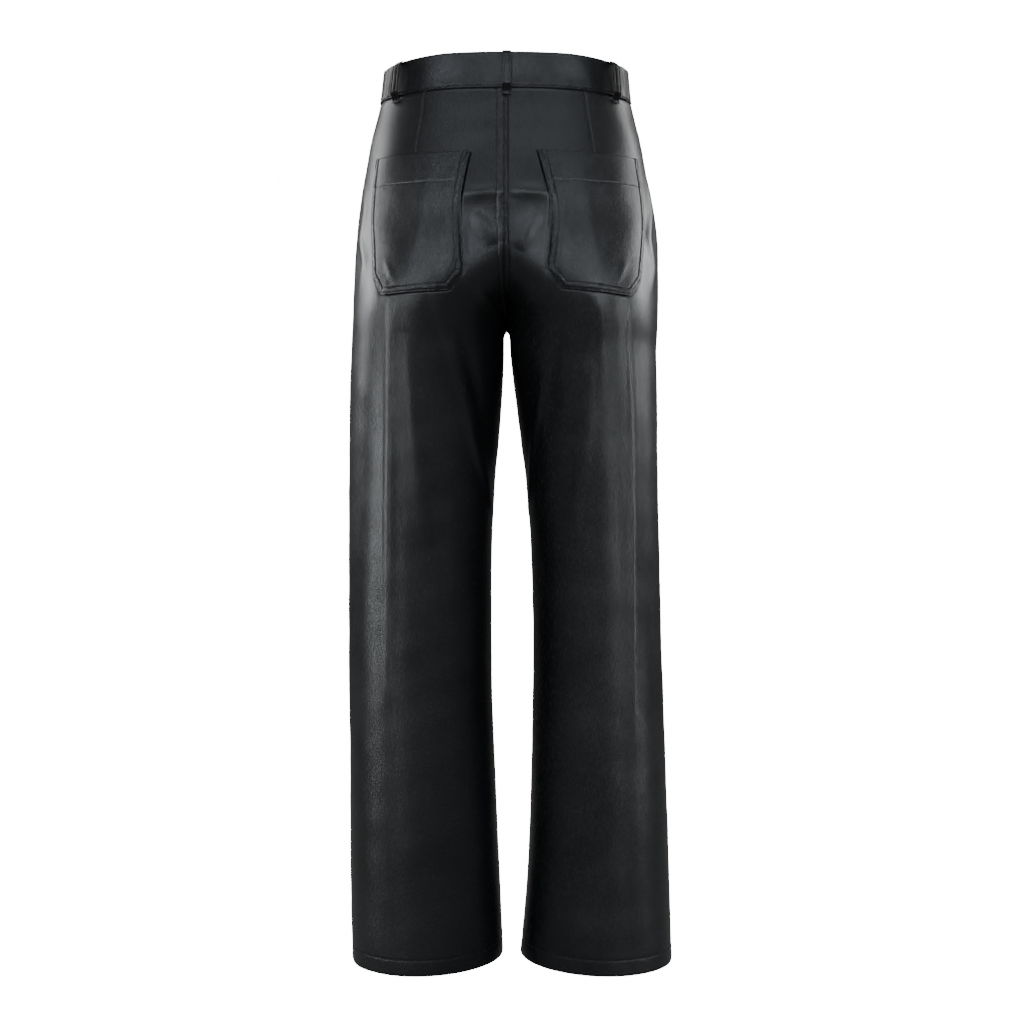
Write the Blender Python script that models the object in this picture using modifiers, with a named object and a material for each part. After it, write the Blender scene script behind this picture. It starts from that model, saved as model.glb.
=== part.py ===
"""Leather trousers, worn and filled out: +Z up, front towards -Y, the wearer's left towards +X.

The origin is the centre of the waist ring, halfway up the waistband. Each cut piece is a thin wall
on one garment surface, which a table of level sections gives, and meets its neighbours at open
seams of a constant gap.
"""

import math

import bmesh
import bpy
import numpy as np
from mathutils import Vector

MM = 0.001

# Cloth and seams
WALL = 1.2 * MM
SEAM_GAP = 0.3 * MM
# Exponent of the level sections: 2 is an ellipse, more is squarer
ROUNDNESS_HIPS = 2.15
ROUNDNESS_HEM = 1.98

# Waistband
BAND_HEIGHT = 40 * MM
BAND_WALL = 2.6 * MM
BAND_PROUD = 0.8 * MM
BAND_OVERLAP_OVER = 28 * MM
BAND_OVERLAP_UNDER = 8 * MM
BAND_STEP = 14 * MM
BAND_SEGMENTS = 60

# Lengths below the middle of the waistband
WAIST_SEAM = -BAND_HEIGHT / 2
CROTCH = -288 * MM
HEM = -1021 * MM
HEM_TURN_UP = 18 * MM
HEM_BACK_DROP = 11 * MM
HEM_SIDE_DROP = 3.5 * MM
HEM_SLOPE_REACH = 160 * MM

# Where the rise starts to round in towards the crotch, and how squarely it turns under
RISE_START = {"back": -140 * MM, "front": -170 * MM}
RISE_TURN = {"back": 1.3, "front": 1.5}

# Level sections in millimetres. Columns: height, outer edge and inner edge of the left leg, inner
# edge and outer edge of the right leg (from the centre line), depth in front and depth behind.
# Above the crotch the inner edges are on the centre seam.
SECTION_COLUMNS = ("height", "left_out", "left_in", "right_in", "right_out", "front", "back")
SECTIONS = np.array(
    [
        (22, 143.5, 0, 0, 142.0, 89, 91),
        (-20, 149.0, 0, 0, 146.0, 92, 94),
        (-61, 159.0, 0, 0, 156.0, 100, 105),
        (-108, 167.5, 0, 0, 165.0, 109, 119),
        (-155, 174.6, 0, 0, 174.2, 115, 128),
        (-203, 178.4, 0, 0, 178.0, 117, 131),
        (-250, 180.5, 0, 0, 178.0, 114, 127),
        (-288, 182.0, 0.2, 0.2, 177.0, 108, 118),
        (-292, 182.2, 2.6, 2.8, 176.8, 107, 117),
        (-309, 183.0, 3.0, 3.6, 176.0, 105, 113),
        (-368, 185.0, 5.8, 10.2, 176.8, 98, 103),
        (-415, 185.5, 9.6, 16.4, 177.2, 94, 97),
        (-462, 185.8, 13.8, 22.4, 177.8, 91, 92),
        (-510, 186.2, 16.6, 26.4, 178.6, 88, 88),
        (-560, 186.3, 18.2, 29.2, 179.8, 85, 85),
        (-663, 186.3, 18.2, 31.0, 182.2, 81, 80),
        (-781, 185.0, 14.8, 29.2, 186.4, 77, 77),
        (-899, 184.4, 9.8, 25.6, 190.4, 74, 75),
        (-958, 183.6, 7.3, 21.8, 192.2, 73, 74),
        (-1040, 182.0, 4.0, 14.0, 195.0, 72, 74),
    ]
)

# Largest folds in millimetres: a soft ridge along a line on one panel, from its top to its foot.
# Columns: panel, top across, top height, foot across, foot height, half-width, rise.
FOLDS = (
    ("back_left", 22, -172, 7, -228, 8, 3.0),
    ("back_right", -19, -172, -7, -228, 8, 3.0),
    ("back_left", 122, -272, 128, -400, 12, 3.0),
    ("back_left", 74, -274, 46, -400, 12, 3.0),
    ("back_left", 34, -434, 18, -492, 9, 2.5),
    ("back_right", -103, -274, -105, -390, 12, 3.0),
    ("back_right", -88, -418, -79, -500, 9, 2.5),
    ("back_right", -31, -405, -25, -495, 9, 2.5),
    ("back_left", 174, -162, 170, -240, 7, 2.5),
    ("back_right", -172, -150, -171, -240, 7, 2.5),
    ("front_left", 132, -206, 30, -262, 10, 2.5),
    ("front_right", -128, -200, -30, -260, 10, 2.5),
    ("front_left", 60, -250, 40, -380, 10, 2.5),
    ("front_right", -64, -252, -46, -372, 10, 2.5),
    ("front_left", 116, -470, 62, -500, 10, 2.0),
    ("front_right", -112, -476, -66, -510, 10, 2.0),
)

PANELS = {
    "front_left": ("front", 1),
    "front_right": ("front", -1),
    "back_left": ("back", 1),
    "back_right": ("back", -1),
}
PANEL_COLUMNS = 12
RISE_ROWS = 8
HIP_ROWS = 5
LEG_ROWS = 13
HEM_STEP = 1 * MM

# Patch pockets in millimetres, the right one's across values negative. Columns: line, outer
# edge across and height, inner edge across and height.
POCKET_LINES = {
    "pocket_left": (
        ("top", 149.0, -93.5, 41.0, -94.0),
        ("shoulder", 151.0, -233.5, 48.6, -232.0),
        ("foot", 141.0, -254.5, 65.3, -251.5),
    ),
    "pocket_right": (
        ("top", -149.0, -92.5, -35.3, -93.0),
        ("shoulder", -151.5, -236.0, -44.3, -228.5),
        ("foot", -139.0, -255.5, -63.5, -249.5),
    ),
}
POCKET_GAP = 0.7 * MM
POCKET_COLUMNS = 12
POCKET_SIDE_ROWS = 8
POCKET_CORNER_ROWS = 2

# Belt loops: profile as the loop's inner face runs up. Columns: height, stand-off from the garment.
LOOP_WIDTH = 11 * MM
LOOP_WALL = 1.6 * MM
LOOP_PROFILE = (
    (-27.5, 0.6),
    (-23.5, 0.6),
    (-20.2, 3.0),
    (-16.5, 5.9),
    (-8.0, 6.4),
    (8.0, 6.6),
    (15.0, 6.2),
    (18.6, 3.8),
    (20.5, 1.3),
    (22.0, 1.3),
)
LOOP_ANGLES = {
    "belt_loop_back": 90.0,
    "belt_loop_back_left": 33.0,
    "belt_loop_back_right": 147.0,
    "belt_loop_front_left": -38.0,
    "belt_loop_front_right": 218.0,
}

# Fly: a closed zip sewn behind the meeting fronts by its tape edges
ZIP_HALF_WIDTH = 14 * MM
ZIP_TOP = -24 * MM
ZIP_FOOT = -172 * MM
ZIP_TAPE = 0.9 * MM
ZIP_SEAT = 0.8 * MM
ZIP_SET_BACK = 3.2 * MM
ZIP_CHAIN_HALF_WIDTH = 2.8 * MM
ZIP_CHAIN_RISE = 1.0 * MM
ZIP_ROWS = 8
SLIDER_SIZE = (7 * MM, 1.4 * MM, 11 * MM)
SLIDER_HEIGHT = -33 * MM
PULL_LENGTH = 14 * MM

# Waist button
BUTTON_RADIUS = 8.5 * MM
BUTTON_THICKNESS = 3.2 * MM
BUTTON_ACROSS = -14 * MM
BUTTON_SEAT = 0.5 * MM

MATERIALS = {
    "leather": ((0.030, 0.031, 0.034), 0.42, 0.0),
    "leather_pocket": ((0.040, 0.041, 0.045), 0.42, 0.0),
    "leather_trim": ((0.025, 0.026, 0.029), 0.45, 0.0),
    "zip": ((0.020, 0.020, 0.022), 0.60, 0.0),
    "metal": ((0.22, 0.22, 0.23), 0.35, 1.0),
}


def clear_scene():
    for obj in list(bpy.data.objects):
        bpy.data.objects.remove(obj, do_unlink=True)


def new_collection(name):
    collection = bpy.data.collections.new(name)
    bpy.context.scene.collection.children.link(collection)
    return collection


def new_material(name):
    colour, roughness, metallic = MATERIALS[name]
    material = bpy.data.materials.new(name)
    material.use_nodes = True
    shader = material.node_tree.nodes["Principled BSDF"]
    shader.inputs["Base Color"].default_value = (*colour, 1.0)
    shader.inputs["Roughness"].default_value = roughness
    shader.inputs["Metallic"].default_value = metallic
    return material


def signed_power(value, exponent):
    return math.copysign(abs(value) ** exponent, value)


def smooth_step(value):
    value = min(max(value, 0.0), 1.0)
    return value * value * (3 - 2 * value)


def section(column, height):
    """A column of the sections at any height, in metres, on a smooth curve through its rows."""
    heights = SECTIONS[::-1, 0] * MM
    values = SECTIONS[::-1, SECTION_COLUMNS.index(column)] * MM
    slopes = np.diff(values) / np.diff(heights)
    inner = np.where(slopes[1:] * slopes[:-1] > 0, (slopes[1:] + slopes[:-1]) / 2, 0.0)
    tangents = np.concatenate([slopes[:1], inner, slopes[-1:]])
    height = min(max(height, heights[0]), heights[-1])
    row = min(int(np.searchsorted(heights, height, side="right")) - 1, len(slopes) - 1)
    span = heights[row + 1] - heights[row]
    t = (height - heights[row]) / span
    return (
        (1 + 2 * t) * (1 - t) ** 2 * values[row]
        + t * (1 - t) ** 2 * span * tangents[row]
        + t * t * (3 - 2 * t) * values[row + 1]
        + t * t * (t - 1) * span * tangents[row + 1]
    )


def roundness(height):
    """The sections' exponent at a height: squarest at the hips and roundest at the hem."""
    share = smooth_step((CROTCH - height) / (CROTCH - HEM))
    return ROUNDNESS_HIPS + (ROUNDNESS_HEM - ROUNDNESS_HIPS) * share


def rise_share(face, height):
    """0 where the section is one ring and 1 at the crotch, where it parts into two legs."""
    start = RISE_START[face]
    share = min(max((start - height) / (start - CROTCH), 0.0), 1.0)
    return smooth_step(share ** RISE_TURN[face])


def leg_section(face, side, height):
    """Centre across, half-width, depth and the angle from the side seam to the inner edge."""
    name = "left" if side > 0 else "right"
    outer = section(name + "_out", height)
    depth = section(face, height)
    if height > CROTCH:
        share = rise_share(face, height)
        centre = outer * share / (1 + share)
        end = math.acos(-(share ** (roundness(height) / 2)))
        return centre, outer - centre, depth, end
    inner = section(name + "_in", height)
    return (outer + inner) / 2, (outer - inner) / 2, depth, math.pi


def plain_point(panel, angle, height):
    """A point on the garment surface, at an angle round its leg's section from the side seam."""
    face, side = PANELS[panel]
    centre, half_width, depth, _ = leg_section(face, side, height)
    cosine = signed_power(math.cos(angle), 2 / roundness(height))
    sine = signed_power(math.sin(angle), 2 / roundness(height))
    back = 1 if face == "back" else -1
    slope = smooth_step((HEM + HEM_SLOPE_REACH - height) / HEM_SLOPE_REACH)
    drop = slope * (HEM_BACK_DROP * back * sine + HEM_SIDE_DROP * cosine)
    return Vector((side * (centre + half_width * cosine), back * depth * sine, height - drop))


def plain_normal(panel, angle, height):
    """The outward direction there."""
    face, side = PANELS[panel]
    end = leg_section(face, side, height)[3]
    step = 0.02
    low = max(angle - step, 0.004)
    high = min(angle + step, end - 0.004)
    round_section = plain_point(panel, high, height) - plain_point(panel, low, height)
    middle = (low + high) / 2
    lift = 0.5 * MM
    up = plain_point(panel, middle, height + lift) - plain_point(panel, middle, height - lift)
    normal = round_section.cross(up).normalized()
    if face == "front":
        normal.negate()
    normal *= side
    if angle < step:
        normal.y = 0.0
    if angle > end - step and end > 3.1:
        normal.y = 0.0
    if angle > end - step and rise_share(face, height) == 0.0:
        normal.x = 0.0
    return normal.normalized()


def fold_rise(panel, point):
    """How far the folds lift the cloth at a point."""
    rise = 0.0
    for name, top_x, top_z, foot_x, foot_z, half_width, height in FOLDS:
        if name != panel:
            continue
        top = Vector((top_x, top_z)) * MM
        along = Vector((foot_x, foot_z)) * MM - top
        offset = Vector((point.x, point.z)) - top
        share = min(max(offset.dot(along) / along.length_squared, 0.0), 1.0)
        distance = (offset - along * share).length
        taper = math.sin(math.pi * min(max(share, 0.0), 1.0)) ** 0.6
        rise += height * MM * taper * math.exp(-((distance / (half_width * MM)) ** 2))
    return rise


def surface_point(panel, angle, height, moved_out=0.0):
    """A point of the folded surface, moved out along the surface's normal."""
    normal = plain_normal(panel, angle, height)
    point = plain_point(panel, angle, height)
    return point + normal * (fold_rise(panel, point) + moved_out)


def angle_across(panel, across, height):
    """The angle at which the section is this far across from the centre line."""
    face, side = PANELS[panel]
    centre, half_width, _, _ = leg_section(face, side, height)
    cosine = min(max((abs(across) - centre) / half_width, -1.0), 1.0)
    return math.acos(signed_power(cosine, roundness(height) / 2))


def wall_object(name, collection, material, outer, inner, closed=False):
    """A closed wall between two grids of points: the outer sheet, extruded to the inner one."""
    rows = len(outer)
    columns = len(outer[0])
    mesh = bmesh.new()
    row_of = mesh.verts.layers.int.new("row")
    column_of = mesh.verts.layers.int.new("column")
    bmesh.ops.create_grid(mesh, x_segments=columns - 1, y_segments=rows - 1, size=1.0)
    for vertex in mesh.verts:
        vertex[column_of] = round((vertex.co.x + 1) / 2 * (columns - 1))
        vertex[row_of] = round((vertex.co.y + 1) / 2 * (rows - 1))
    whole = bmesh.ops.extrude_face_region(mesh, geom=mesh.faces[:], use_keep_orig=True)
    moved = {item for item in whole["geom"] if isinstance(item, bmesh.types.BMVert)}
    for vertex in mesh.verts:
        grid = inner if vertex in moved else outer
        vertex.co = grid[vertex[row_of]][vertex[column_of]]
    if closed:
        bmesh.ops.remove_doubles(mesh, verts=mesh.verts[:], dist=1e-6)
    bmesh.ops.recalc_face_normals(mesh, faces=mesh.faces[:])
    if mesh.calc_volume(signed=True) < 0:
        bmesh.ops.reverse_faces(mesh, faces=mesh.faces[:])
    data = bpy.data.meshes.new(name)
    mesh.to_mesh(data)
    mesh.free()
    data.shade_smooth()
    data.set_sharp_from_angle(angle=math.radians(40))
    obj = bpy.data.objects.new(name, data)
    obj.data.materials.append(material)
    collection.objects.link(obj)
    return obj


def clear_of_seams(point, panel):
    """The point, kept half a seam gap from the side, centre and inside-leg seams."""
    face, side = PANELS[panel]
    half = SEAM_GAP / 2
    back = 1 if face == "back" else -1
    return Vector((side * max(side * point.x, half), back * max(back * point.y, half), point.z))


def panel_heights(face):
    """Row heights of a panel, closest where the rise turns under at the crotch."""
    start = RISE_START[face]
    top = WAIST_SEAM - SEAM_GAP
    hip = np.linspace(top, start, HIP_ROWS + 1)[:-1]
    rise = start + (CROTCH - start) * np.linspace(0, 1, RISE_ROWS + 1) ** 0.85
    below = CROTCH - np.array([4, 14]) * MM
    leg = np.linspace(below[-1], HEM + HEM_TURN_UP, LEG_ROWS + 1)[1:]
    hem = [HEM + HEM_TURN_UP - HEM_STEP, HEM]
    return [*hip, *rise, *below, *leg, *hem]


def make_panel(name, collection, material):
    """One front or back panel: its hem is turned up inside, so the wall is double there."""
    face, side = PANELS[name]
    outer = []
    inner = []
    for height in panel_heights(face):
        end = leg_section(face, side, height)[3]
        wall = 2 * WALL if height < HEM + HEM_TURN_UP - HEM_STEP / 2 else WALL
        angles = np.linspace(0, end, PANEL_COLUMNS + 1)
        outer.append([clear_of_seams(surface_point(name, a, height), name) for a in angles])
        inner.append([clear_of_seams(surface_point(name, a, height, -wall), name) for a in angles])
    return wall_object(name, collection, material, outer, inner)


def pocket_rows(lines):
    """Rows of a pocket as (outer across, outer height, inner across, inner height), in metres."""
    top, shoulder, foot = (np.array(line[1:]) * MM for line in lines)
    sides = [top + (shoulder - top) * t for t in np.linspace(0, 1, POCKET_SIDE_ROWS + 1)]
    corner = [
        shoulder + (foot - shoulder) * t for t in np.linspace(0, 1, POCKET_CORNER_ROWS + 1)[1:]
    ]
    return sides + corner


def make_pocket(name, collection, material):
    """A patch pocket: the back panel's own surface inside the pocket's outline, moved out."""
    panel = name.replace("pocket", "back")
    outer = []
    inner = []
    for outer_x, outer_z, inner_x, inner_z in pocket_rows(POCKET_LINES[name]):
        first = angle_across(panel, outer_x, outer_z)
        last = angle_across(panel, inner_x, inner_z)
        shares = np.linspace(0, 1, POCKET_COLUMNS + 1)
        places = [(first + (last - first) * t, outer_z + (inner_z - outer_z) * t) for t in shares]
        outer.append([surface_point(panel, a, z, POCKET_GAP + WALL) for a, z in places])
        inner.append([surface_point(panel, a, z, POCKET_GAP) for a, z in places])
    return wall_object(name, collection, material, outer, inner)


def ring_point(degrees, height, moved_out):
    """A point round the waist: 0 at the left side, 90 at the centre back, 180 at the right side."""
    angle = math.radians(degrees)
    side = "left" if math.cos(angle) > 0 else "right"
    face = "back" if math.sin(angle) > 0 else "front"
    half_width = section(side + "_out", height)
    depth = section(face, height)
    x = half_width * signed_power(math.cos(angle), 2 / ROUNDNESS_HIPS)
    y = depth * signed_power(math.sin(angle), 2 / ROUNDNESS_HIPS)
    steep = ROUNDNESS_HIPS - 1
    across = signed_power(x / half_width, steep) / half_width
    outward = Vector((across, signed_power(y / depth, steep) / depth, 0)).normalized()
    return Vector((x, y, height)) + outward * moved_out


def front_angle(across):
    """The ring angle, near the centre front, of a place this far across."""
    half_width = section("left_out" if across > 0 else "right_out", 0.0)
    share = signed_power(across / half_width, ROUNDNESS_HIPS / 2)
    return 270 + math.degrees(math.asin(share))


def make_waistband(collection, material):
    """The band: one strip round the waist, whose left end steps out over its right end."""
    first = front_angle(-BAND_OVERLAP_OVER) - 360
    last = front_angle(BAND_OVERLAP_UNDER)
    step_start = front_angle(BAND_OVERLAP_UNDER + 2 * MM) - 360
    step_end = front_angle(BAND_OVERLAP_UNDER + 2 * MM + BAND_STEP) - 360
    front_half = np.linspace(first, step_end, 9)
    degrees = [*front_half, *np.linspace(step_end, last, BAND_SEGMENTS + 1)[1:]]
    lift = BAND_WALL + SEAM_GAP
    outer = []
    inner = []
    for height in (WAIST_SEAM, 0.0, -WAIST_SEAM):
        outs = []
        for degree in degrees:
            over = 1 - smooth_step((degree - step_start) / (step_end - step_start))
            outs.append(BAND_PROUD + lift * over)
        outer.append([ring_point(d, height, out) for d, out in zip(degrees, outs)])
        inner.append([ring_point(d, height, out - BAND_WALL) for d, out in zip(degrees, outs)])
    return wall_object("waistband", collection, material, outer, inner)


def make_belt_loop(name, collection, material):
    """A belt loop: a strip sewn at both ends, bowed clear of the band between them."""
    degrees = LOOP_ANGLES[name]
    centre = ring_point(degrees, 0.0, 0.0)
    turn = (ring_point(degrees + 0.5, 0.0, 0.0) - ring_point(degrees - 0.5, 0.0, 0.0)).length
    half = LOOP_WIDTH / 2 / turn
    places = [degrees - half, degrees, degrees + half]
    outward = (ring_point(degrees, 0.0, 10 * MM) - centre).normalized()
    outer = []
    inner = []
    for height, stand_off in LOOP_PROFILE:
        row = [ring_point(d, height * MM, stand_off * MM) for d in places]
        inner.append(row)
        outer.append([point + outward * LOOP_WALL for point in row])
    return wall_object(name, collection, material, outer, inner)


def make_zip(collection, material):
    """The fly's zip: two tapes and the closed chain, set back so that the slider has room."""
    middle = ZIP_HALF_WIDTH / 2
    chain = ZIP_CHAIN_HALF_WIDTH
    edge = WALL + ZIP_SEAT
    back = edge + ZIP_SET_BACK
    # Columns: across, depth of the outer face, thickness
    profile = (
        (-ZIP_HALF_WIDTH, edge, ZIP_TAPE),
        (-ZIP_HALF_WIDTH * 0.8, edge, ZIP_TAPE),
        (-middle, back, ZIP_TAPE),
        (-chain - 0.2 * MM, back, ZIP_TAPE),
        (-chain, back - ZIP_CHAIN_RISE, ZIP_TAPE + ZIP_CHAIN_RISE),
        (chain, back - ZIP_CHAIN_RISE, ZIP_TAPE + ZIP_CHAIN_RISE),
        (chain + 0.2 * MM, back, ZIP_TAPE),
        (middle, back, ZIP_TAPE),
        (ZIP_HALF_WIDTH * 0.8, edge, ZIP_TAPE),
        (ZIP_HALF_WIDTH, edge, ZIP_TAPE),
    )
    outer = []
    inner = []
    for height in np.linspace(ZIP_TOP, ZIP_FOOT, ZIP_ROWS + 1):
        outer.append([front_point(x, height, depth) for x, depth, _ in profile])
        inner.append([front_point(x, height, depth + thick) for x, depth, thick in profile])
    return wall_object("fly_zip", collection, material, outer, inner)


def front_point(across, height, depth):
    """A point this deep behind the front's surface, near the centre front."""
    half_width = section("left_out" if across > 0 else "right_out", height)
    share = 1 - abs(across / half_width) ** ROUNDNESS_HIPS
    ahead = section("front", height) * share ** (1 / ROUNDNESS_HIPS)
    return Vector((across, depth - ahead, height))


def make_slider(collection, material):
    """The zip's slider, closed at the top, with its pull lying down the chain."""
    mesh = bmesh.new()
    width, depth, height = SLIDER_SIZE
    face = front_point(0.0, SLIDER_HEIGHT, WALL + ZIP_SEAT)
    place = face + Vector((0, depth / 2 + SEAM_GAP, 0))
    bmesh.ops.create_cube(mesh, size=1.0)
    bmesh.ops.scale(mesh, verts=mesh.verts[:], vec=(width, depth, height))
    foot = [f for f in mesh.faces if f.normal.z < -0.9]
    pull = bmesh.ops.extrude_discrete_faces(mesh, faces=foot)["faces"]
    corners = list({v for f in pull for v in f.verts})
    bmesh.ops.scale(mesh, verts=corners, vec=(0.6, 0.7, 1.0))
    bmesh.ops.translate(mesh, verts=corners, vec=(0, 0, -PULL_LENGTH))
    bmesh.ops.translate(mesh, verts=mesh.verts[:], vec=place)
    for vertex in mesh.verts:
        vertex.co.y -= section("front", vertex.co.z) - section("front", SLIDER_HEIGHT)
    bmesh.ops.recalc_face_normals(mesh, faces=mesh.faces[:])
    data = bpy.data.meshes.new("zip_slider")
    mesh.to_mesh(data)
    mesh.free()
    obj = bpy.data.objects.new("zip_slider", data)
    data.materials.append(material)
    collection.objects.link(obj)
    bevel = obj.modifiers.new("rounded", "BEVEL")
    bevel.width = 0.3 * MM
    bevel.segments = 1
    return obj


def make_button(collection, material):
    """A plain round waist button with a raised rim, on the band's upper end."""
    degrees = front_angle(BUTTON_ACROSS)
    stand_off = BAND_PROUD + BAND_WALL + SEAM_GAP + BUTTON_SEAT
    seat = ring_point(degrees, 0.0, stand_off)
    along = ring_point(degrees + 1, 0.0, stand_off) - ring_point(degrees - 1, 0.0, stand_off)
    up = ring_point(degrees, WALL, stand_off) - ring_point(degrees, -WALL, stand_off)
    outward = along.cross(up).normalized()
    mesh = bmesh.new()
    bmesh.ops.create_cone(
        mesh,
        cap_ends=True,
        segments=28,
        radius1=BUTTON_RADIUS,
        radius2=BUTTON_RADIUS,
        depth=BUTTON_THICKNESS,
    )
    top = [f for f in mesh.faces if f.normal.z > 0.9]
    bmesh.ops.inset_region(mesh, faces=top, thickness=2 * MM, depth=0.0)
    bmesh.ops.inset_region(mesh, faces=top, thickness=0.6 * MM, depth=-0.8 * MM)
    bmesh.ops.translate(mesh, verts=mesh.verts[:], vec=(0, 0, BUTTON_THICKNESS / 2))
    data = bpy.data.meshes.new("waist_button")
    mesh.to_mesh(data)
    mesh.free()
    data.shade_smooth()
    data.set_sharp_from_angle(angle=math.radians(40))
    obj = bpy.data.objects.new("waist_button", data)
    data.materials.append(material)
    collection.objects.link(obj)
    obj.rotation_mode = "QUATERNION"
    obj.rotation_quaternion = Vector((0, 0, 1)).rotation_difference(outward)
    obj.location = seat
    bevel = obj.modifiers.new("rounded", "BEVEL")
    bevel.width = 0.5 * MM
    bevel.segments = 2
    bevel.limit_method = "ANGLE"
    bevel.angle_limit = math.radians(50)
    return obj


def main():
    clear_scene()
    trousers = new_collection("leather_trousers")
    materials = {name: new_material(name) for name in MATERIALS}
    for name in PANELS:
        make_panel(name, trousers, materials["leather"])
    for name in POCKET_LINES:
        make_pocket(name, trousers, materials["leather_pocket"])
    make_waistband(trousers, materials["leather_trim"])
    for name in LOOP_ANGLES:
        make_belt_loop(name, trousers, materials["leather_trim"])
    make_zip(trousers, materials["zip"])
    make_slider(trousers, materials["metal"])
    make_button(trousers, materials["metal"])


main()
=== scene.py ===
import math

import bmesh
import bpy
import numpy as np
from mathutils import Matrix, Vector


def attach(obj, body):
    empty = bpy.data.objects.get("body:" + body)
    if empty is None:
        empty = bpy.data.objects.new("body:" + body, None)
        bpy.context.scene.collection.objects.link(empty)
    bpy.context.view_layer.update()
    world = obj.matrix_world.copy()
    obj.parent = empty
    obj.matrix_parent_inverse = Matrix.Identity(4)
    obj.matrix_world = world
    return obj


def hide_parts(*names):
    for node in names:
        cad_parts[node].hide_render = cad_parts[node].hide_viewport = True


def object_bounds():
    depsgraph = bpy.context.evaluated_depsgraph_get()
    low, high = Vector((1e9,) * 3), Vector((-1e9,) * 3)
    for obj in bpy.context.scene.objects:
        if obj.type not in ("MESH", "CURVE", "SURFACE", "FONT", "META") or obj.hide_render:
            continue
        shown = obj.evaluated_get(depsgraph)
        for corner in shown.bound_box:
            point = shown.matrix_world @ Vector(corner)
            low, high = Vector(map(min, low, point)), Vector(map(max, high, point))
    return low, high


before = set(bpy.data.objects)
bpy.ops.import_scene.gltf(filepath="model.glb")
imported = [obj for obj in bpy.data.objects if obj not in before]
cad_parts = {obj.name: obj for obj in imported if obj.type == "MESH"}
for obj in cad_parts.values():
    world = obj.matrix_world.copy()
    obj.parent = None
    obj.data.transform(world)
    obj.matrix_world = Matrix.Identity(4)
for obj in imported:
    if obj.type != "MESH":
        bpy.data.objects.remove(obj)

MM = 0.001
cad_box = [list(corner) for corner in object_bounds()]
bpy.ops.object.select_all(action="DESELECT")

# ---------------------------------------------------------------------------------------------
# Camera: level, behind the trousers and looking at their back, at the height of the middle of
# the whole length. It stands off 2.45 m, so that the waistband and hems curve as worn ones do.
# ---------------------------------------------------------------------------------------------
CAMERA_DISTANCE = 2.45
CAMERA_HEIGHT = -0.500
CAMERA_ACROSS = -0.0059
VIEW_WIDTH = 1.2083  # of the picture, at the side seams

camera_data = bpy.data.cameras.new("camera")
camera_data.sensor_width = 36.0
camera_data.lens = 36.0 * CAMERA_DISTANCE / VIEW_WIDTH
camera = bpy.data.objects.new("camera", camera_data)
camera.location = (CAMERA_ACROSS, CAMERA_DISTANCE, CAMERA_HEIGHT)
camera.rotation_euler = (math.radians(90), 0, math.radians(180))
bpy.context.scene.collection.objects.link(camera)
bpy.context.scene.camera = camera

# ---------------------------------------------------------------------------------------------
# Stage: one pale flat floor and a dim even sky, so that the black leather takes its shape from the
# soft boxes alone. The camera sees floor and sky as white paper.
# ---------------------------------------------------------------------------------------------
FLOOR_GAP = 0.012
FLOOR_HALF = 7.0
FLOOR_COLOUR = (0.19, 0.186, 0.178, 1)
SKY_COLOUR = (0.97, 0.98, 1.0, 1)
SKY_STRENGTH = 0.10
BACKGROUND_STRENGTH = 16.0


def feed(tree, node, inputs):
    """Sets a node's inputs, each to a plain value or to the output that feeds it."""
    for key, value in inputs.items():
        if isinstance(value, bpy.types.NodeSocket):
            tree.links.new(value, node.inputs[key])
        else:
            node.inputs[key].default_value = value


def add_node(tree, kind, inputs, **settings):
    """A new shader node in a tree."""
    node = tree.nodes.new("ShaderNode" + kind)
    for key, value in settings.items():
        setattr(node, key, value)
    feed(tree, node, inputs)
    return node


def new_material(name, values):
    """A new material with these values on its shader, and its node tree and shader."""
    material = bpy.data.materials.new(name)
    material.use_nodes = True
    shader = material.node_tree.nodes["Principled BSDF"]
    feed(material.node_tree, shader, values)
    return material, material.node_tree, shader


def paper_to_camera(tree, plain, paper):
    """A mix of two shaders: the camera sees the paper, and every other ray the plain one."""
    rays = add_node(tree, "LightPath", {})
    inputs = {"Fac": rays.outputs["Is Camera Ray"], 1: plain.outputs[0], 2: paper.outputs[0]}
    return add_node(tree, "MixShader", inputs).outputs["Shader"]



bpy.ops.mesh.primitive_plane_add(size=2 * FLOOR_HALF, location=(0, 0, cad_box[0][2] - FLOOR_GAP))
floor = bpy.context.object
floor.name = "floor"
floor_values = {"Base Color": FLOOR_COLOUR, "Roughness": 0.9}
floor_material, tree, shader = new_material("pale_floor", floor_values)
glow = add_node(tree, "Emission", {"Strength": BACKGROUND_STRENGTH})
feed(tree, tree.nodes["Material Output"], {"Surface": paper_to_camera(tree, shader, glow)})
floor.data.materials.append(floor_material)

world = bpy.data.worlds.new("studio")
bpy.context.scene.world = world
world.use_nodes = True
tree = world.node_tree
tree.nodes.clear()
output = add_node(tree, "OutputWorld", {})
sky = add_node(tree, "Background", {"Color": SKY_COLOUR, "Strength": SKY_STRENGTH})
paper = add_node(tree, "Background", {"Color": (1, 1, 1, 1), "Strength": BACKGROUND_STRENGTH})
feed(tree, output, {"Surface": paper_to_camera(tree, sky, paper)})

KEY_COLOUR = (0.84, 0.91, 1.0)
EDGE_COLOUR = (0.93, 0.97, 1.0)
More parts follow.
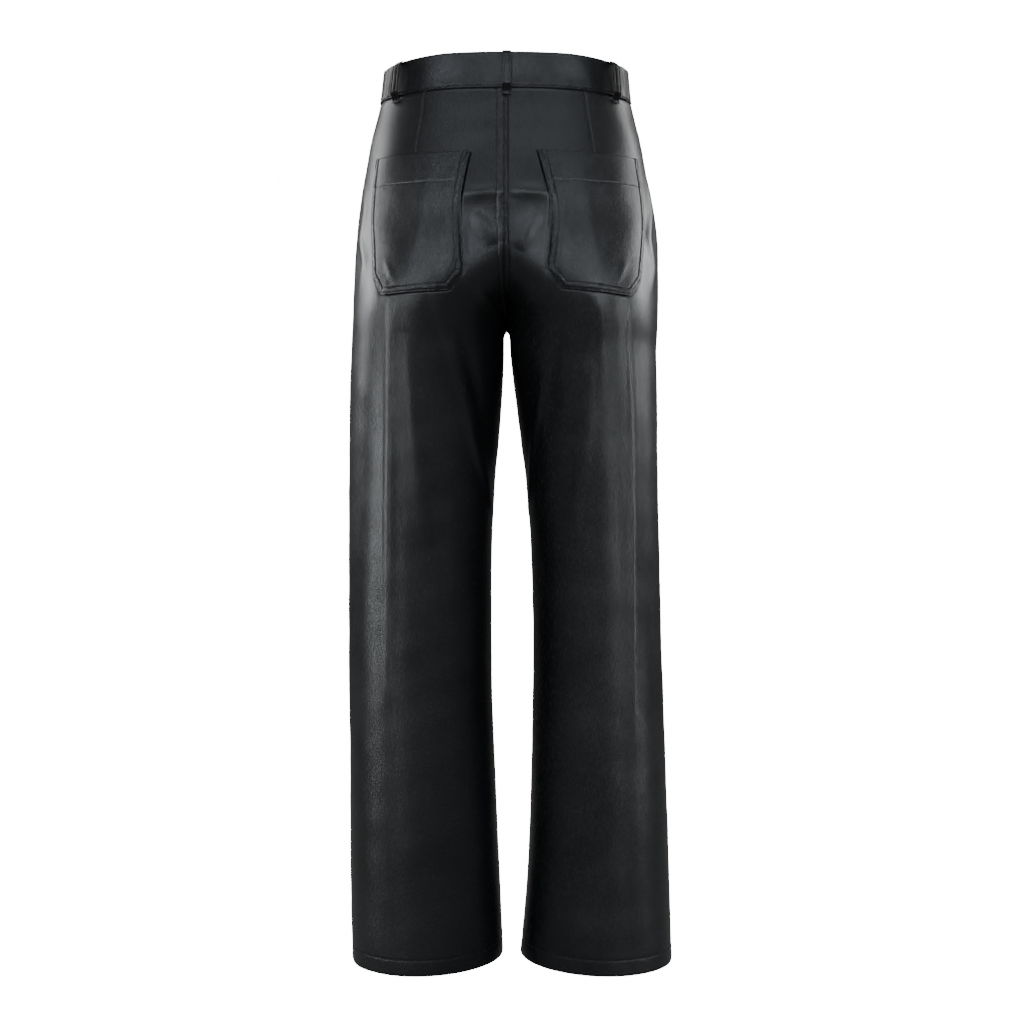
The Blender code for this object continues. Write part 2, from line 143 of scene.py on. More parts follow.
# Soft boxes. Columns: name, centre, point it faces, width, height, watts, colour, and the leg it
# is flagged to, if it lights only one
SOFT_BOXES = (
    ("box_key", (0.0, 3.1, 0.55), (0, 0, -0.2), 1.7, 0.4, 20, KEY_COLOUR, None),
    ("box_key_left", (1.9, 2.45, 0.6), (0, 0, -0.2), 0.6, 0.4, 16, KEY_COLOUR, None),
    ("box_key_right", (-1.9, 2.45, 0.6), (0, 0, -0.2), 0.6, 0.4, 14, KEY_COLOUR, None),
    ("box_over", (0.0, 1.4, 2.3), (0, 0, -0.2), 3.4, 1.2, 27, KEY_COLOUR, None),
    ("box_strip_left", (2.1, 0.75, -0.42), (0, 0, -0.4), 0.14, 0.75, 16, EDGE_COLOUR, "left"),
    ("box_strip_right", (-2.1, 0.7, -0.42), (0, 0, -0.4), 0.14, 0.75, 11, EDGE_COLOUR, "right"),
    ("box_thigh_left", (1.42, 2.0, -0.3), (0, 0, -0.35), 0.16, 0.6, 9, EDGE_COLOUR, "left"),
    ("box_thigh_right", (-1.42, 2.0, -0.3), (0, 0, -0.35), 0.3, 0.6, 9, EDGE_COLOUR, "right"),
    ("box_side_left", (2.1, -0.75, 0.2), (0, 0, -0.2), 0.5, 0.7, 17, EDGE_COLOUR, "left"),
    ("box_side_right", (-2.1, -0.75, 0.2), (0, 0, -0.2), 0.5, 0.7, 17, EDGE_COLOUR, "right"),
    ("box_rim_left", (1.7, -1.0, 0.6), (0, 0, 0), 0.5, 1.1, 13, (1, 1, 1), None),
    ("box_rim_right", (-1.7, -1.0, 0.6), (0, 0, 0), 0.5, 1.1, 11, (1, 1, 1), None),
    ("box_front", (0.3, -2.4, 1.2), (0, 0, -0.4), 1.2, 1.0, 50, (1, 1, 1), None),
)
leg_lit = {name: bpy.data.collections.new(name + "_leg_lit") for name in ("left", "right")}
for name, place, target, width, height, power, colour, leg in SOFT_BOXES:
    light = bpy.data.lights.new(name, "AREA")
    light.shape = "RECTANGLE"
    light.size = width
    light.size_y = height
    light.energy = power
    light.color = colour
    box = bpy.data.objects.new(name, light)
    box.location = place
    box.rotation_euler = (Vector(target) - Vector(place)).to_track_quat("-Z", "Y").to_euler()
    bpy.context.scene.collection.objects.link(box)
    if leg:
        box.light_linking.receiver_collection = leg_lit[leg]

# ---------------------------------------------------------------------------------------------
# Leather: thin smooth black nappa with a fine even grain and a satin sheen, faintly mottled paler
# and darker at random in tone and gloss. Its inside is a matt knitted backing.
# ---------------------------------------------------------------------------------------------
GRAIN_SIZE = 1.9 * MM
GRAIN_DEPTH = 0.2 * MM
FURROW_EDGE = 0.22  # of a pebble's size, on each side of the furrow between two
PORE_SCALE = 2600
MOTTLE_SCALE = 14
UNEVEN_GLOSS = 0.03
BACKING_RIB = 1.6 * MM
PUCKER_SIZE = 3.2 * MM
PUCKER_RISE = 8.0  # times the grain's


def shaded(tree, by, dark, light, low=0.0, high=1.0):
    """A colour between a dark and a light one, led by a value."""
    ramp = add_node(tree, "ValToRGB", {"Fac": by})
    for end, place, colour in zip(ramp.color_ramp.elements, (low, high), (dark, light)):
        end.position = place
        end.color = (*colour, 1)
    return ramp.outputs["Color"]


def bumped(tree, height, strength, distance):
    """The directions of a surface with this relief."""
    inputs = {"Strength": strength, "Distance": distance, "Height": height}
    return add_node(tree, "Bump", inputs).outputs["Normal"]


def leather_material(name, colour, roughness, grain=0.3):
    """Black leather, with pebbled grain, faint mottling and uneven gloss."""
    material, tree, shader = new_material(name, {"Specular IOR Level": 0.5, "Coat Weight": 0.0})
    place = add_node(tree, "TexCoord", {}).outputs["Object"]
    inputs = {"Scale": 1 / GRAIN_SIZE, "Vector": place}
    pebbles = add_node(tree, "TexVoronoi", inputs, feature="DISTANCE_TO_EDGE").outputs["Distance"]
    furrows = add_node(tree, "MapRange", {"From Max": FURROW_EDGE, "Value": pebbles})
    pores = add_node(tree, "TexNoise", {"Scale": PORE_SCALE, "Detail": 3, "Vector": place})
    inputs = {0: pores.outputs["Fac"], 1: 0.5, 2: furrows.outputs["Result"]}
    relief = add_node(tree, "Math", inputs, operation="MULTIPLY_ADD")
    # puckers, centred so that they don't shift the surface, and only where the leather is sewn
    inputs = {"Scale": 1 / PUCKER_SIZE, "Detail": 1, "Vector": place}
    puckers = add_node(tree, "TexNoise", inputs).outputs["Fac"]
    centred = add_node(tree, "Math", {0: puckers, 1: 0.5}, operation="SUBTRACT").outputs["Value"]
    sewn = add_node(tree, "Attribute", {}, attribute_name="sewn").outputs["Fac"]
    gathered = add_node(tree, "Math", {0: sewn, 1: centred}, operation="MULTIPLY")
    inputs = {0: gathered.outputs["Value"], 1: PUCKER_RISE, 2: relief.outputs["Value"]}
    height = add_node(tree, "Math", inputs, operation="MULTIPLY_ADD").outputs["Value"]
    mottle = add_node(tree, "TexNoise", {"Scale": MOTTLE_SCALE, "Detail": 5, "Vector": place})
    mottle = mottle.outputs["Fac"]
    dark = [c * 0.8 for c in colour]
    light = [c * 1.25 for c in colour]
    inputs = {
        "From Min": 0.3,
        "From Max": 0.7,
        "To Min": roughness - UNEVEN_GLOSS,
        "To Max": roughness + UNEVEN_GLOSS,
        "Value": mottle,
    }
    gloss = add_node(tree, "MapRange", inputs)
    inputs = {
        "Base Color": shaded(tree, mottle, dark, light, 0.3, 0.72),
        "Roughness": gloss.outputs["Result"],
        "Normal": bumped(tree, height, grain, GRAIN_DEPTH),
    }
    feed(tree, shader, inputs)
    return material


leather = leather_material("leather", (0.0080, 0.0083, 0.0090), 0.34)
pocket_leather = leather_material("pocket_leather", (0.0065, 0.0068, 0.0076), 0.34, 0.45)
trim_leather = leather_material("trim_leather", (0.0060, 0.0063, 0.0070), 0.34)

backing, tree, shader = new_material("knit_backing", {"Roughness": 0.92, "Sheen Weight": 0.25})
place = add_node(tree, "UVMap", {}, uv_map="cut").outputs["UV"]
inputs = {"Scale": 1 / BACKING_RIB / 6.28, "Distortion": 1.5, "Vector": place}
ribs = add_node(tree, "TexWave", inputs).outputs["Fac"]
inputs = {
    "Base Color": shaded(tree, ribs, (0.012, 0.012, 0.013), (0.026, 0.026, 0.028)),
    "Normal": bumped(tree, ribs, 0.5, 0.2 * MM),
}
feed(tree, shader, inputs)

# ---------------------------------------------------------------------------------------------
# Fronts and backs: four panels of leather, sewn at the sides, inside legs, centre front and
# centre back, with the edges rolled into the seams. The worn form is round and full; a few long
# soft folds run from the seat and the pockets down into the legs.
# ---------------------------------------------------------------------------------------------
WALL = 1.2 * MM
SEAM_GAP = 0.3 * MM
ROUNDNESS_HIPS = 2.15
ROUNDNESS_HEM = 1.98
WAIST_SEAM = -20 * MM
CROTCH = -288 * MM
HEM = -1021 * MM
HEM_TURN_UP = 18 * MM
HEM_BACK_DROP = 11 * MM
HEM_SIDE_DROP = 3.5 * MM
HEM_SLOPE_REACH = 160 * MM
RISE_START = {"back": -140 * MM, "front": -170 * MM}
RISE_TURN = {"back": 1.3, "front": 1.5}

# Level sections in millimetres: outer and inner edges of the legs from the centre line, and the
# depth in front and behind. Above the crotch the inner edges lie on the centre seams.
SECTION_COLUMNS = ("height", "left_out", "left_in", "right_in", "right_out", "front", "back")
SECTIONS = np.array(
    [
        (22, 143.5, 0, 0, 142.0, 89, 91),
        (-20, 149.0, 0, 0, 146.0, 92, 94),
        (-61, 159.0, 0, 0, 156.0, 100, 105),
        (-108, 167.5, 0, 0, 165.0, 109, 119),
        (-155, 174.6, 0, 0, 174.2, 115, 128),
        (-203, 178.4, 0, 0, 178.0, 117, 131),
        (-250, 180.5, 0, 0, 178.0, 114, 127),
        (-288, 182.0, 0.2, 0.2, 177.0, 108, 118),
        (-309, 183.0, 1.4, 1.9, 176.0, 104.8, 113),
        (-368, 185.0, 5.8, 10.2, 176.8, 98, 103),
        (-415, 185.5, 9.6, 16.4, 177.2, 94, 97),
        (-462, 185.8, 13.8, 22.4, 177.8, 91, 92),
        (-510, 186.2, 16.6, 26.4, 178.6, 88, 88),
        (-560, 186.3, 18.2, 29.2, 179.8, 85, 85),
        (-663, 186.3, 18.2, 31.0, 182.2, 81, 80),
        (-781, 185.0, 14.8, 29.2, 186.4, 77, 77),
        (-899, 184.4, 9.8, 25.6, 190.4, 74, 75),
        (-958, 183.6, 7.3, 21.8, 192.2, 73, 74),
        (-1040, 182.0, 4.0, 14.0, 195.0, 72, 74),
    ]
)
CROTCH_NOTCH = (4.0 * MM, 2.5 * MM, 34 * MM)  # how far it opens the legs' tops, and how soon
# The waist dips at the sides and stands higher across the back. Heights, and the lift there
WAIST_LIFT = ((-70, 0.0), (-20, 1.7), (22, 3.7))
WAIST_LIFT_ACROSS = (
    (0, 1.0), (72, 1.0), (92, 0.65), (112, 0.1), (124, -0.25), (150, -0.9), (190, -0.9),
)
PANELS = {
    "front_left": ("front", 1),
    "front_right": ("front", -1),
    "back_left": ("back", 1),
    "back_right": ("back", -1),
}

# Folds: soft ridges (rise above 0) and troughs (below 0), in millimetres.
# Columns: panel, half-width on the outer side, half-width on the inner side, rise, then the
# line as (across, height) pairs, the right leg's across values negative.
FOLDS = (
    # seat: the creases under the shelf, and those beside the crotch
    ("back_left", 8, 8, 2.0, ((58, -146), (42, -143), (22, -140), (2, -142))),
    ("back_right", 8, 8, 2.2, ((-56, -144), (-40, -141), (-20, -139), (-2, -142))),
    ("back_left", 6, 9, 2.8, ((39, -164), (32, -169), (25, -177), (18, -188), (13, -200))),
    ("back_right", 9, 6, 2.6, ((-38, -166), (-31, -172), (-24, -182), (-18, -196), (-14, -208))),
    ("back_left", 5, 7, 3.0, ((34, -250), (19, -264), (10, -278), (4, -291))),
    ("back_right", 6, 7, 1.4, ((-28, -256), (-16, -268), (-9, -280), (-4, -291))),
    # left leg
    (
        "back_left", 8, 5, 2.4,
        ((134, -232), (135.5, -270), (135, -330), (135, -420), (136, -520), (137, -720)),
    ),
    (
        "back_left", 5, 5, 0.9,
        ((106, -254), (117, -257), (125, -274), (128.5, -296), (128, -343), (124, -400)),
    ),
    (
        "back_left", 9, 11, 2.6,
        ((114, -300), (113, -320), (110, -350), (105, -400), (96, -470), (90, -540)),
    ),
    (
        "back_left", 14, 6, 3.6,
        ((80, -250), (77, -274), (63, -317), (51, -369), (39, -420), (26, -462), (16, -505)),
    ),
    ("back_left", 12, 10, -2.0, ((54, -290), (40, -340), (28, -390), (20, -440))),
    # right leg
    (
        "back_right", 5, 8, 2.0,
        ((-135, -236), (-139, -280), (-141, -340), (-144, -430), (-145, -560), (-146, -760)),
    ),
    (
        "back_right", 5, 5, 1.2,
        ((-84, -255), (-99, -260), (-106, -275), (-108.5, -300), (-108.8, -340), (-106, -385)),
    ),
    ("back_right", 4, 4, 0.8, ((-108, -318), (-100, -328), (-93, -342), (-90, -356))),
    ("back_right", 10, 8, 2.4, ((-96, -330), (-92, -360), (-88, -420), (-81, -480), (-76, -540))),
    ("back_right", 8, 6, 2.0, ((-44, -330), (-37, -376), (-32, -410), (-27, -460), (-25, -510))),
    ("back_right", 12, 10, -2.0, ((-62, -280), (-52, -340), (-46, -400))),
    # hips, beside the pockets
    ("back_left", 7, 7, 2.4, ((168, -118), (163, -150), (169, -185), (163, -214), (172, -256))),
    (
        "back_right", 7, 7, 2.6,
        ((-162, -104), (-168, -146), (-163, -184), (-170, -216), (-166, -250)),
    ),
    # fronts: creases from the hips to the crotch, and long soft ones down the thighs
    ("front_left", 10, 12, 2.8, ((140, -196), (96, -226), (52, -252), (16, -270))),
    ("front_right", 10, 12, 2.8, ((-136, -188), (-92, -220), (-48, -250), (-15, -271))),
    ("front_left", 9, 10, -1.8, ((120, -222), (72, -248), (30, -270))),
    ("front_right", 9, 10, -1.8, ((-112, -214), (-66, -244), (-28, -268))),
    ("front_left", 12, 9, 3.0, ((70, -262), (58, -320), (48, -390), (40, -470), (34, -520))),
    ("front_right", 12, 9, 3.0, ((-74, -258), (-64, -316), (-52, -380), (-46, -456), (-42, -508))),
    ("front_left", 14, 14, 2.2, ((126, -290), (124, -400), (116, -520), (110, -620))),
    ("front_right", 14, 14, 2.2, ((-122, -284), (-120, -410), (-116, -540), (-112, -650))),
    ("front_left", 10, 10, 1.6, ((132, -476), (96, -500), (58, -512))),
    ("front_right", 10, 10, 1.6, ((-134, -486), (-98, -508), (-66, -516))),
)
DART = {"back_left": ((93.5, -20), (103.5, -92)), "back_right": ((-88.5, -20), (-99.5, -91))}

EDGE_STEPS = np.array(
    [0, 0.4, 0.8, 1.2, 1.6, 2.0, 2.5, 3.4, 4.8, 6.4, 7.4, 7.8, 8.2, 8.6, 9.2, 10.4]
) * MM
# Lines along which the grid is fine: how far round each one lies at two heights, as across in mm
FINE_LINES = {
    "back_left": (
        ((149.6, -93.5), (151.6, -233.5)),
        ((93.5, -20), (103.5, -92)),
        ((40.4, -94), (48.0, -232)),
    ),
    "back_right": (
        ((-149.6, -92.5), (-152.1, -236)),
        ((-88.5, -20), (-99.5, -91)),
        ((-34.7, -93), (-43.7, -228.5)),
    ),
    "front_left": (((36, -22), (36, -138)),),
    "front_right": (),
}
FINE_STEPS = np.array([-1.9, -1.1, -0.65, -0.3, 0, 0.3, 0.65, 1.1, 1.9]) * MM
GAP_COLUMNS = {3: (12, 16, 18, 14), 1: (42, 14), 0: (48,)}


def smooth_step(value):
    value = np.clip(value, 0.0, 1.0)
    return value * value * (3 - 2 * value)


def signed_power(value, exponent):
    return np.copysign(np.abs(value) ** exponent, value)


def bell(distance, half_width):
    """1 on the line of a ridge or groove, falling off smoothly to both sides."""
    return np.exp(-((distance / half_width) ** 2))


def length_along(points):
    """How far along a line each of its points lies."""
    return np.concatenate([[0], np.cumsum(np.linalg.norm(np.diff(points, axis=0), axis=1))])


def smoothed(values, times):
    """The values with each inner one drawn toward its neighbours, this many times."""
    values = values.copy()
    for _ in range(times):
        values[1:-1] = (values[:-2] + 2 * values[1:-1] + values[2:]) / 4
    return values


def section(column, height):
    """A column of the sections at these heights, in metres, on a smooth curve through its rows."""
    heights = SECTIONS[::-1, 0] * MM
    values = SECTIONS[::-1, SECTION_COLUMNS.index(column)] * MM
    slopes = np.diff(values) / np.diff(heights)
    inner = np.where(slopes[1:] * slopes[:-1] > 0, (slopes[1:] + slopes[:-1]) / 2, 0.0)
    tangents = np.concatenate([slopes[:1], inner, slopes[-1:]])
    height = np.clip(height, heights[0], heights[-1])
    row = np.clip(np.searchsorted(heights, height, side="right") - 1, 0, len(slopes) - 1)
    span = heights[row + 1] - heights[row]
    t = (height - heights[row]) / span
    return (
        (1 + 2 * t) * (1 - t) ** 2 * values[row]
        + t * (1 - t) ** 2 * span * tangents[row]
        + t * t * (3 - 2 * t) * values[row + 1]
        + t * t * (t - 1) * span * tangents[row + 1]
    )


def roundness(height):
    share = smooth_step((CROTCH - height) / (CROTCH - HEM))
    return ROUNDNESS_HIPS + (ROUNDNESS_HEM - ROUNDNESS_HIPS) * share


def leg_section(panel, height):
    """Centre across, half-width, depth and the angle from the side seam to the inner edge."""
    face, side = PANELS[panel]
    name = "left" if side > 0 else "right"
    outer = section(name + "_out", height)
    inner = section(name + "_in", height)
    start = RISE_START[face]
    share = np.clip((start - height) / (start - CROTCH), 0.0, 1.0)
    share = smooth_step(share ** RISE_TURN[face])
    above = height > CROTCH
    centre = np.where(above, outer * share / (1 + share), (outer + inner) / 2)
    half_width = np.where(above, outer - centre, (outer - inner) / 2)
    end = np.where(above, np.arccos(-(share ** (roundness(height) / 2))), np.pi)
    return centre, half_width, section(face, height), end


def waist_lift(across, deep, height):
    """How much higher the waist of worn trousers rides across the back than the level rows."""
    heights, lifts = np.array(WAIST_LIFT).T * MM
    places, shares = np.array(WAIST_LIFT_ACROSS).T
    behind = smooth_step(deep / (20 * MM))
    lift = np.interp(height, heights, lifts)
    return lift * behind * np.interp(np.abs(across) / MM, places, shares)


def plain_cloth(panel, share, height):
    """Points of the unfolded garment surface: share runs from the side seam to the inner seam."""
    face, side = PANELS[panel]
    centre, half_width, depth, end = leg_section(panel, height)
    angle = share * end
    cosine = signed_power(np.cos(angle), 2 / roundness(height))
    sine = signed_power(np.sin(angle), 2 / roundness(height))
    back = 1 if face == "back" else -1
    slope = smooth_step((HEM + HEM_SLOPE_REACH - height) / HEM_SLOPE_REACH)
    drop = slope * (HEM_BACK_DROP * back * sine + HEM_SIDE_DROP * cosine)
    across = centre + half_width * cosine
    open_by, sooner, later = CROTCH_NOTCH
    below = np.clip(CROTCH - height, 0, None)
    notch = open_by * (1 - np.exp(-below / sooner)) * np.exp(-below / later)
    across = side * (across + notch * share**10)
    deep = back * depth * sine
    return np.stack([across, deep, height - drop + waist_lift(across, deep, height)], axis=-1)


def cloth_normal(panel, share, height):
    """Outward directions there, square to the seam planes at the seams."""
    face, side = PANELS[panel]
    step = 0.004
    low = np.clip(share - step, 0.002, 1)
    high = np.clip(share + step, 0, 0.998)
    across = plain_cloth(panel, high, height) - plain_cloth(panel, low, height)
    middle = (low + high) / 2
    lift = 0.5 * MM
    up = plain_cloth(panel, middle, height + lift) - plain_cloth(panel, middle, height - lift)
    normal = np.cross(across, up) * side * (1 if face == "back" else -1)
    end = leg_section(panel, height)[3]
    normal[..., 1] = np.where(share < step, 0.0, normal[..., 1])
    normal[..., 1] = np.where((share > 1 - step) & (end > 3.14), 0.0, normal[..., 1])
    ring = (share > 1 - step) & (height > RISE_START[face])
    normal[..., 0] = np.where(ring, 0.0, normal[..., 0])
    return normal / np.linalg.norm(normal, axis=-1, keepdims=True)


def share_at(panel, across, height):
    """The share of the way round at which the panel is this far across."""
    centre, half_width, _, end = leg_section(panel, height)
    cosine = np.clip((np.abs(across) - centre) / half_width, -1.0, 1.0)
    return np.arccos(signed_power(cosine, roundness(height) / 2)) / end


def girth(panel, height):
    """About how far it is round the panel at a height, from side seam to inner seam."""
    _, half_width, depth, end = leg_section(panel, height)
    return end * np.sqrt((half_width**2 + depth**2) / 2)


def dense_line(panel, line):
    """A fold's line as (way round, height) points every few millimetres, with its run."""
    points = np.array(line, float) * MM
    run = length_along(points)
    places = np.linspace(0, run[-1], max(int(run[-1] / (3 * MM)), 8))
    across = smoothed(np.interp(places, run, points[:, 0]), 3)
    height = smoothed(np.interp(places, run, points[:, 1]), 3)
    round_way = share_at(panel, across, height) * girth(panel, height)
    return round_way, height, places / run[-1]


def from_segment(start, stop, round_way, height):
    """Distance to a segment, the share along it of its nearest point, and the side's sign."""
    step = stop - start
    to_x = round_way - start[0]
    to_z = height - start[1]
    t = np.clip((to_x * step[0] + to_z * step[1]) / (step @ step), 0, 1)
    distance = np.hypot(to_x - t * step[0], to_z - t * step[1])
    return distance, t, np.sign(to_x * step[1] - to_z * step[0])


def nearest_on(line, round_way, height):
    """Distance to a line, signed by the side it lies on, and the run at the nearest point."""
    line_round, line_height, run = line
    corners = np.stack([line_round, line_height], axis=1)
    best = np.full(round_way.shape, 1e9)
    where = np.zeros(round_way.shape)
    sign = np.ones(round_way.shape)
    for i in range(len(run) - 1):
        distance, t, side = from_segment(corners[i], corners[i + 1], round_way, height)
        nearer = distance < best
        best = np.where(nearer, distance, best)
        where = np.where(nearer, run[i] + t * (run[i + 1] - run[i]), where)
        sign = np.where(nearer, side, sign)
    return best, sign, where


def ripple(round_way, height, wavelength, seed):
    """Gentle random unevenness between about -1 and 1."""
    draw = np.random.default_rng(seed)
    total = np.zeros(round_way.shape)
    for _ in range(7):
        turn = draw.uniform(0, math.pi)
        wave = 2 * math.pi / (wavelength * draw.uniform(0.7, 1.5))
        phase = draw.uniform(0, 2 * math.pi)
        total += np.sin(wave * (round_way * math.cos(turn) + height * math.sin(turn)) + phase)
    return total / 3.5


# The seat's hollow, between the pockets: the cloth turns under at a shelf and comes out again lower
SHELF = -143 * MM
HOLLOW_FOOT = -192 * MM
HOLLOW_REACH = 74 * MM  # how far below its foot the cloth is back out
HOLLOW_DEPTH = 8.0 * MM
HOLLOW_SIDES = (42 * MM, 20 * MM)  # where it starts to fade, and over how much


def seat_hollow(across, height):
    """How far the cloth under the seat's shelf lies in, as a rise below zero."""
    down = np.clip((SHELF - height) / (SHELF - HOLLOW_FOOT), 0, 1)
    back_out = 1 - smooth_step((HOLLOW_FOOT - height) / HOLLOW_REACH)
    inside = 1 - smooth_step((np.abs(across) - HOLLOW_SIDES[0]) / HOLLOW_SIDES[1])
    return -HOLLOW_DEPTH * np.sin(math.pi / 2 * down) * back_out * inside


FOLD_LINES = [(row, dense_line(row[0], row[4])) for row in FOLDS]
PANEL_SEED = {"front_left": 11, "front_right": 12, "back_left": 13, "back_right": 14}


def cloth_rise(panel, share, height):
    """How far folds, darts and unevenness lift the leather off the plain form."""
    round_way = share * girth(panel, height)
    rise = 0.25 * MM * ripple(round_way, height, 60 * MM, PANEL_SEED[panel])
    if PANELS[panel][0] == "back":
        rise += seat_hollow(plain_cloth(panel, share, height)[..., 0], height)
    for (name, outer_side, inner_side, height_mm, _), line in FOLD_LINES:
        if name != panel:
            continue
        distance, sign, run = nearest_on(line, round_way, height)
        width = np.where(sign < 0, outer_side, inner_side) * MM
        taper = np.sin(math.pi * np.clip(run, 0.0, 1.0)) ** 0.7
        rise += height_mm * MM * taper * bell(distance, width)
    if panel in DART:
        distance, sign, run = nearest_on(dense_line(panel, DART[panel]), round_way, height)
        inside = np.clip((1.02 - run) * 12, 0, 1)
        rise -= 0.75 * MM * inside * bell(distance, 0.75 * MM)
        step = np.where(sign > 0, 1, 0) * np.exp(-distance / (5 * MM))
        rise += 0.25 * MM * inside * step
    return rise


SEAM_DEPTH = (0.5 * MM, 1.3 * MM)  # at the side seam, and at the centre and inner seams


def seam_roll(panel, share, height):
    """The leather turning in at the panel's edges, with the sewing's slight puckers."""
    around = girth(panel, height)
    to_side = share * around
    to_inner = (1 - share) * around
    roll = np.zeros(share.shape)
    for index, distance in enumerate((to_side, to_inner)):
        pucker = ripple(distance * 0.3, height, 11 * MM, PANEL_SEED[panel] + 40 + index)
        roll -= SEAM_DEPTH[index] * bell(distance, 1.1 * MM)
        roll += 0.22 * MM * bell(distance - 3.5 * MM, 2.6 * MM)
        roll += 0.16 * MM * pucker * np.exp(-distance / (8 * MM))
    return roll


def stitch_groove(distance, depth=0.55 * MM, half_width=0.7 * MM):
    return -depth * bell(distance, half_width)


CENTRE_STITCHES = (1.6 * MM, 8.2 * MM)
HEM_STITCH = 18 * MM
FLY_WIDTH = 36 * MM
FLY_FOOT = -168 * MM
FLY_TURN = 30 * MM


def fly_line():
    """The fly's curved stitch line as (across, height): straight down, then round to the seam."""
    straight = [(FLY_WIDTH, z) for z in np.linspace(WAIST_SEAM, FLY_FOOT + FLY_TURN, 24)]
    turn = np.linspace(0, math.pi / 2, 14)[1:]
    curve = [
        (
            1.5 * MM + (FLY_WIDTH - 1.5 * MM) * math.cos(t),
            FLY_FOOT + FLY_TURN - FLY_TURN * math.sin(t),
        )
        for t in turn
    ]
    return np.array(straight + curve)


# Outer (across, height) and inner (across, height) at the top, the shoulder and the foot, in mm
POCKET_LINES = {
    "left": (
        (149.0, -93.5, 41.0, -94.0),
        (151.0, -233.5, 48.6, -232.0),
        (141.0, -254.5, 65.3, -251.5),
    ),
    "right": (
        (-149.0, -92.5, -35.3, -93.0),
        (-151.5, -236.0, -44.3, -228.5),
        (-139.0, -255.5, -63.5, -249.5),
    ),
}


def to_round_way(panel, across, height):
    across = np.asarray(across, float)
    height = np.asarray(height, float)
    return share_at(panel, across, height) * girth(panel, height)


def pocket_outline(side_name):
    """The pocket's outline on the cloth: top outer, shoulder, foot, then back up the inner side."""
    panel = "back_" + side_name
    rows = np.array(POCKET_LINES[side_name]) * MM
    outer = np.stack([to_round_way(panel, rows[:, 0], rows[:, 1]), rows[:, 1]], axis=1)
    inner = np.stack([to_round_way(panel, rows[:, 2], rows[:, 3]), rows[:, 3]], axis=1)
    return outer, inner


def from_pocket_edge(panel, round_way, height):
    """How far a place is from the sewn edges of the panel's pocket."""
    outer, inner = pocket_outline(panel.replace("back_", ""))
    sewn = [*zip(outer[:-1], outer[1:]), *zip(inner[:-1], inner[1:]), (outer[-1], inner[-1])]
    edge = np.full(round_way.shape, 1.0)
    for start, stop in sewn:
        edge = np.minimum(edge, from_segment(start, stop, round_way, height)[0])
    return edge


def sewn_rise(panel, share, height):
    """Grooves where stitch lines pull the leather down."""
    around = girth(panel, height)
    to_inner = (1 - share) * around
    above = height > CROTCH
    rise = np.zeros(share.shape)
    if panel == "back_left":
        for distance in CENTRE_STITCHES:
            rise += np.where(above, stitch_groove(to_inner - distance), 0)
        middle = sum(CENTRE_STITCHES) / 2
        rise += np.where(above, 0.3 * MM * np.exp(-(((to_inner - middle) / (2.4 * MM)) ** 4)), 0)
    if panel == "front_left":
        line = fly_line() / MM
        distance, _, _ = nearest_on(dense_line(panel, line), share * around, height)
        rise += stitch_groove(distance)
        open_edge = np.clip((height - FLY_FOOT) / (6 * MM), 0, 1)
        rise += 0.7 * MM * open_edge * np.exp(-((to_inner / (9 * MM)) ** 4))
    if PANELS[panel][0] == "back":
        edge = from_pocket_edge(panel, share * around, height)
        rise -= 1.2 * MM * bell(edge, 1.25 * MM)
    rise += stitch_groove(height - (HEM + HEM_STITCH), 0.3 * MM, 1.0 * MM)
    rise -= 0.5 * MM * bell(height - HEM, 1.2 * MM)
    rise -= 0.8 * MM * bell(WAIST_SEAM - height, 1.6 * MM)
    return rise


def cloth_point(panel, share, height, moved_out=0.0, edges=True):
    """Points of the finished leather surface, moved out along its normals."""
    rise = cloth_rise(panel, share, height) + moved_out
    if edges:
        rise = rise + seam_roll(panel, share, height) + sewn_rise(panel, share, height)
    normal = cloth_normal(panel, share, height)
    return plain_cloth(panel, share, height) + normal * rise[..., None]


def columns_round(panel, height):
    """Shares across a panel's row, close together at its seams and along its fine lines."""
    length = float(girth(panel, height))
    marks = [EDGE_STEPS]
    for (high, low) in FINE_LINES[panel]:
        share_high = float(share_at(panel, high[0] * MM, np.array(high[1] * MM)))
        share_low = float(share_at(panel, low[0] * MM, np.array(low[1] * MM)))
        run = (high[1] * MM - height) / ((high[1] - low[1]) * MM)
        share = share_high + (share_low - share_high) * np.clip(run, 0, 1)
        marks.append(share * length + FINE_STEPS)
    marks.append(length - EDGE_STEPS[::-1])
    places = [marks[0]]
    for before, after, count in zip(marks[:-1], marks[1:], GAP_COLUMNS[len(marks) - 2]):
        places.append(np.linspace(before[-1], after[0], count + 2)[1:-1])
        places.append(after)
    return np.concatenate(places) / length


def sheet_object(name, points, cut, flip=False):
    """A grid of points as an open sheet, its UV map the flat cut in metres."""
    rows, columns = points.shape[:2]
    bpy.ops.object.select_all(action="DESELECT")
    bpy.ops.mesh.primitive_grid_add(x_subdivisions=columns - 1, y_subdivisions=rows - 1, size=2)
    sheet = bpy.context.object
    sheet.name = name
    sheet.data.name = name
    places = np.empty(len(sheet.data.vertices) * 3)
    sheet.data.vertices.foreach_get("co", places)
    places = places.reshape(-1, 3)
    column = np.rint((places[:, 0] + 1) / 2 * (columns - 1)).astype(int)
    row = np.rint((places[:, 1] + 1) / 2 * (rows - 1)).astype(int)
    sheet.data.vertices.foreach_set("co", points[row, column].ravel())
    layer = sheet.data.uv_layers[0]
    layer.name = "cut"
    corner = np.empty(len(sheet.data.loops), int)
    sheet.data.loops.foreach_get("vertex_index", corner)
    layer.data.foreach_set("uv", cut[row, column][corner].ravel())
    if flip:
        sheet.data.flip_normals()
    sheet.data.shade_smooth()
    sheet.data.update()
    return sheet


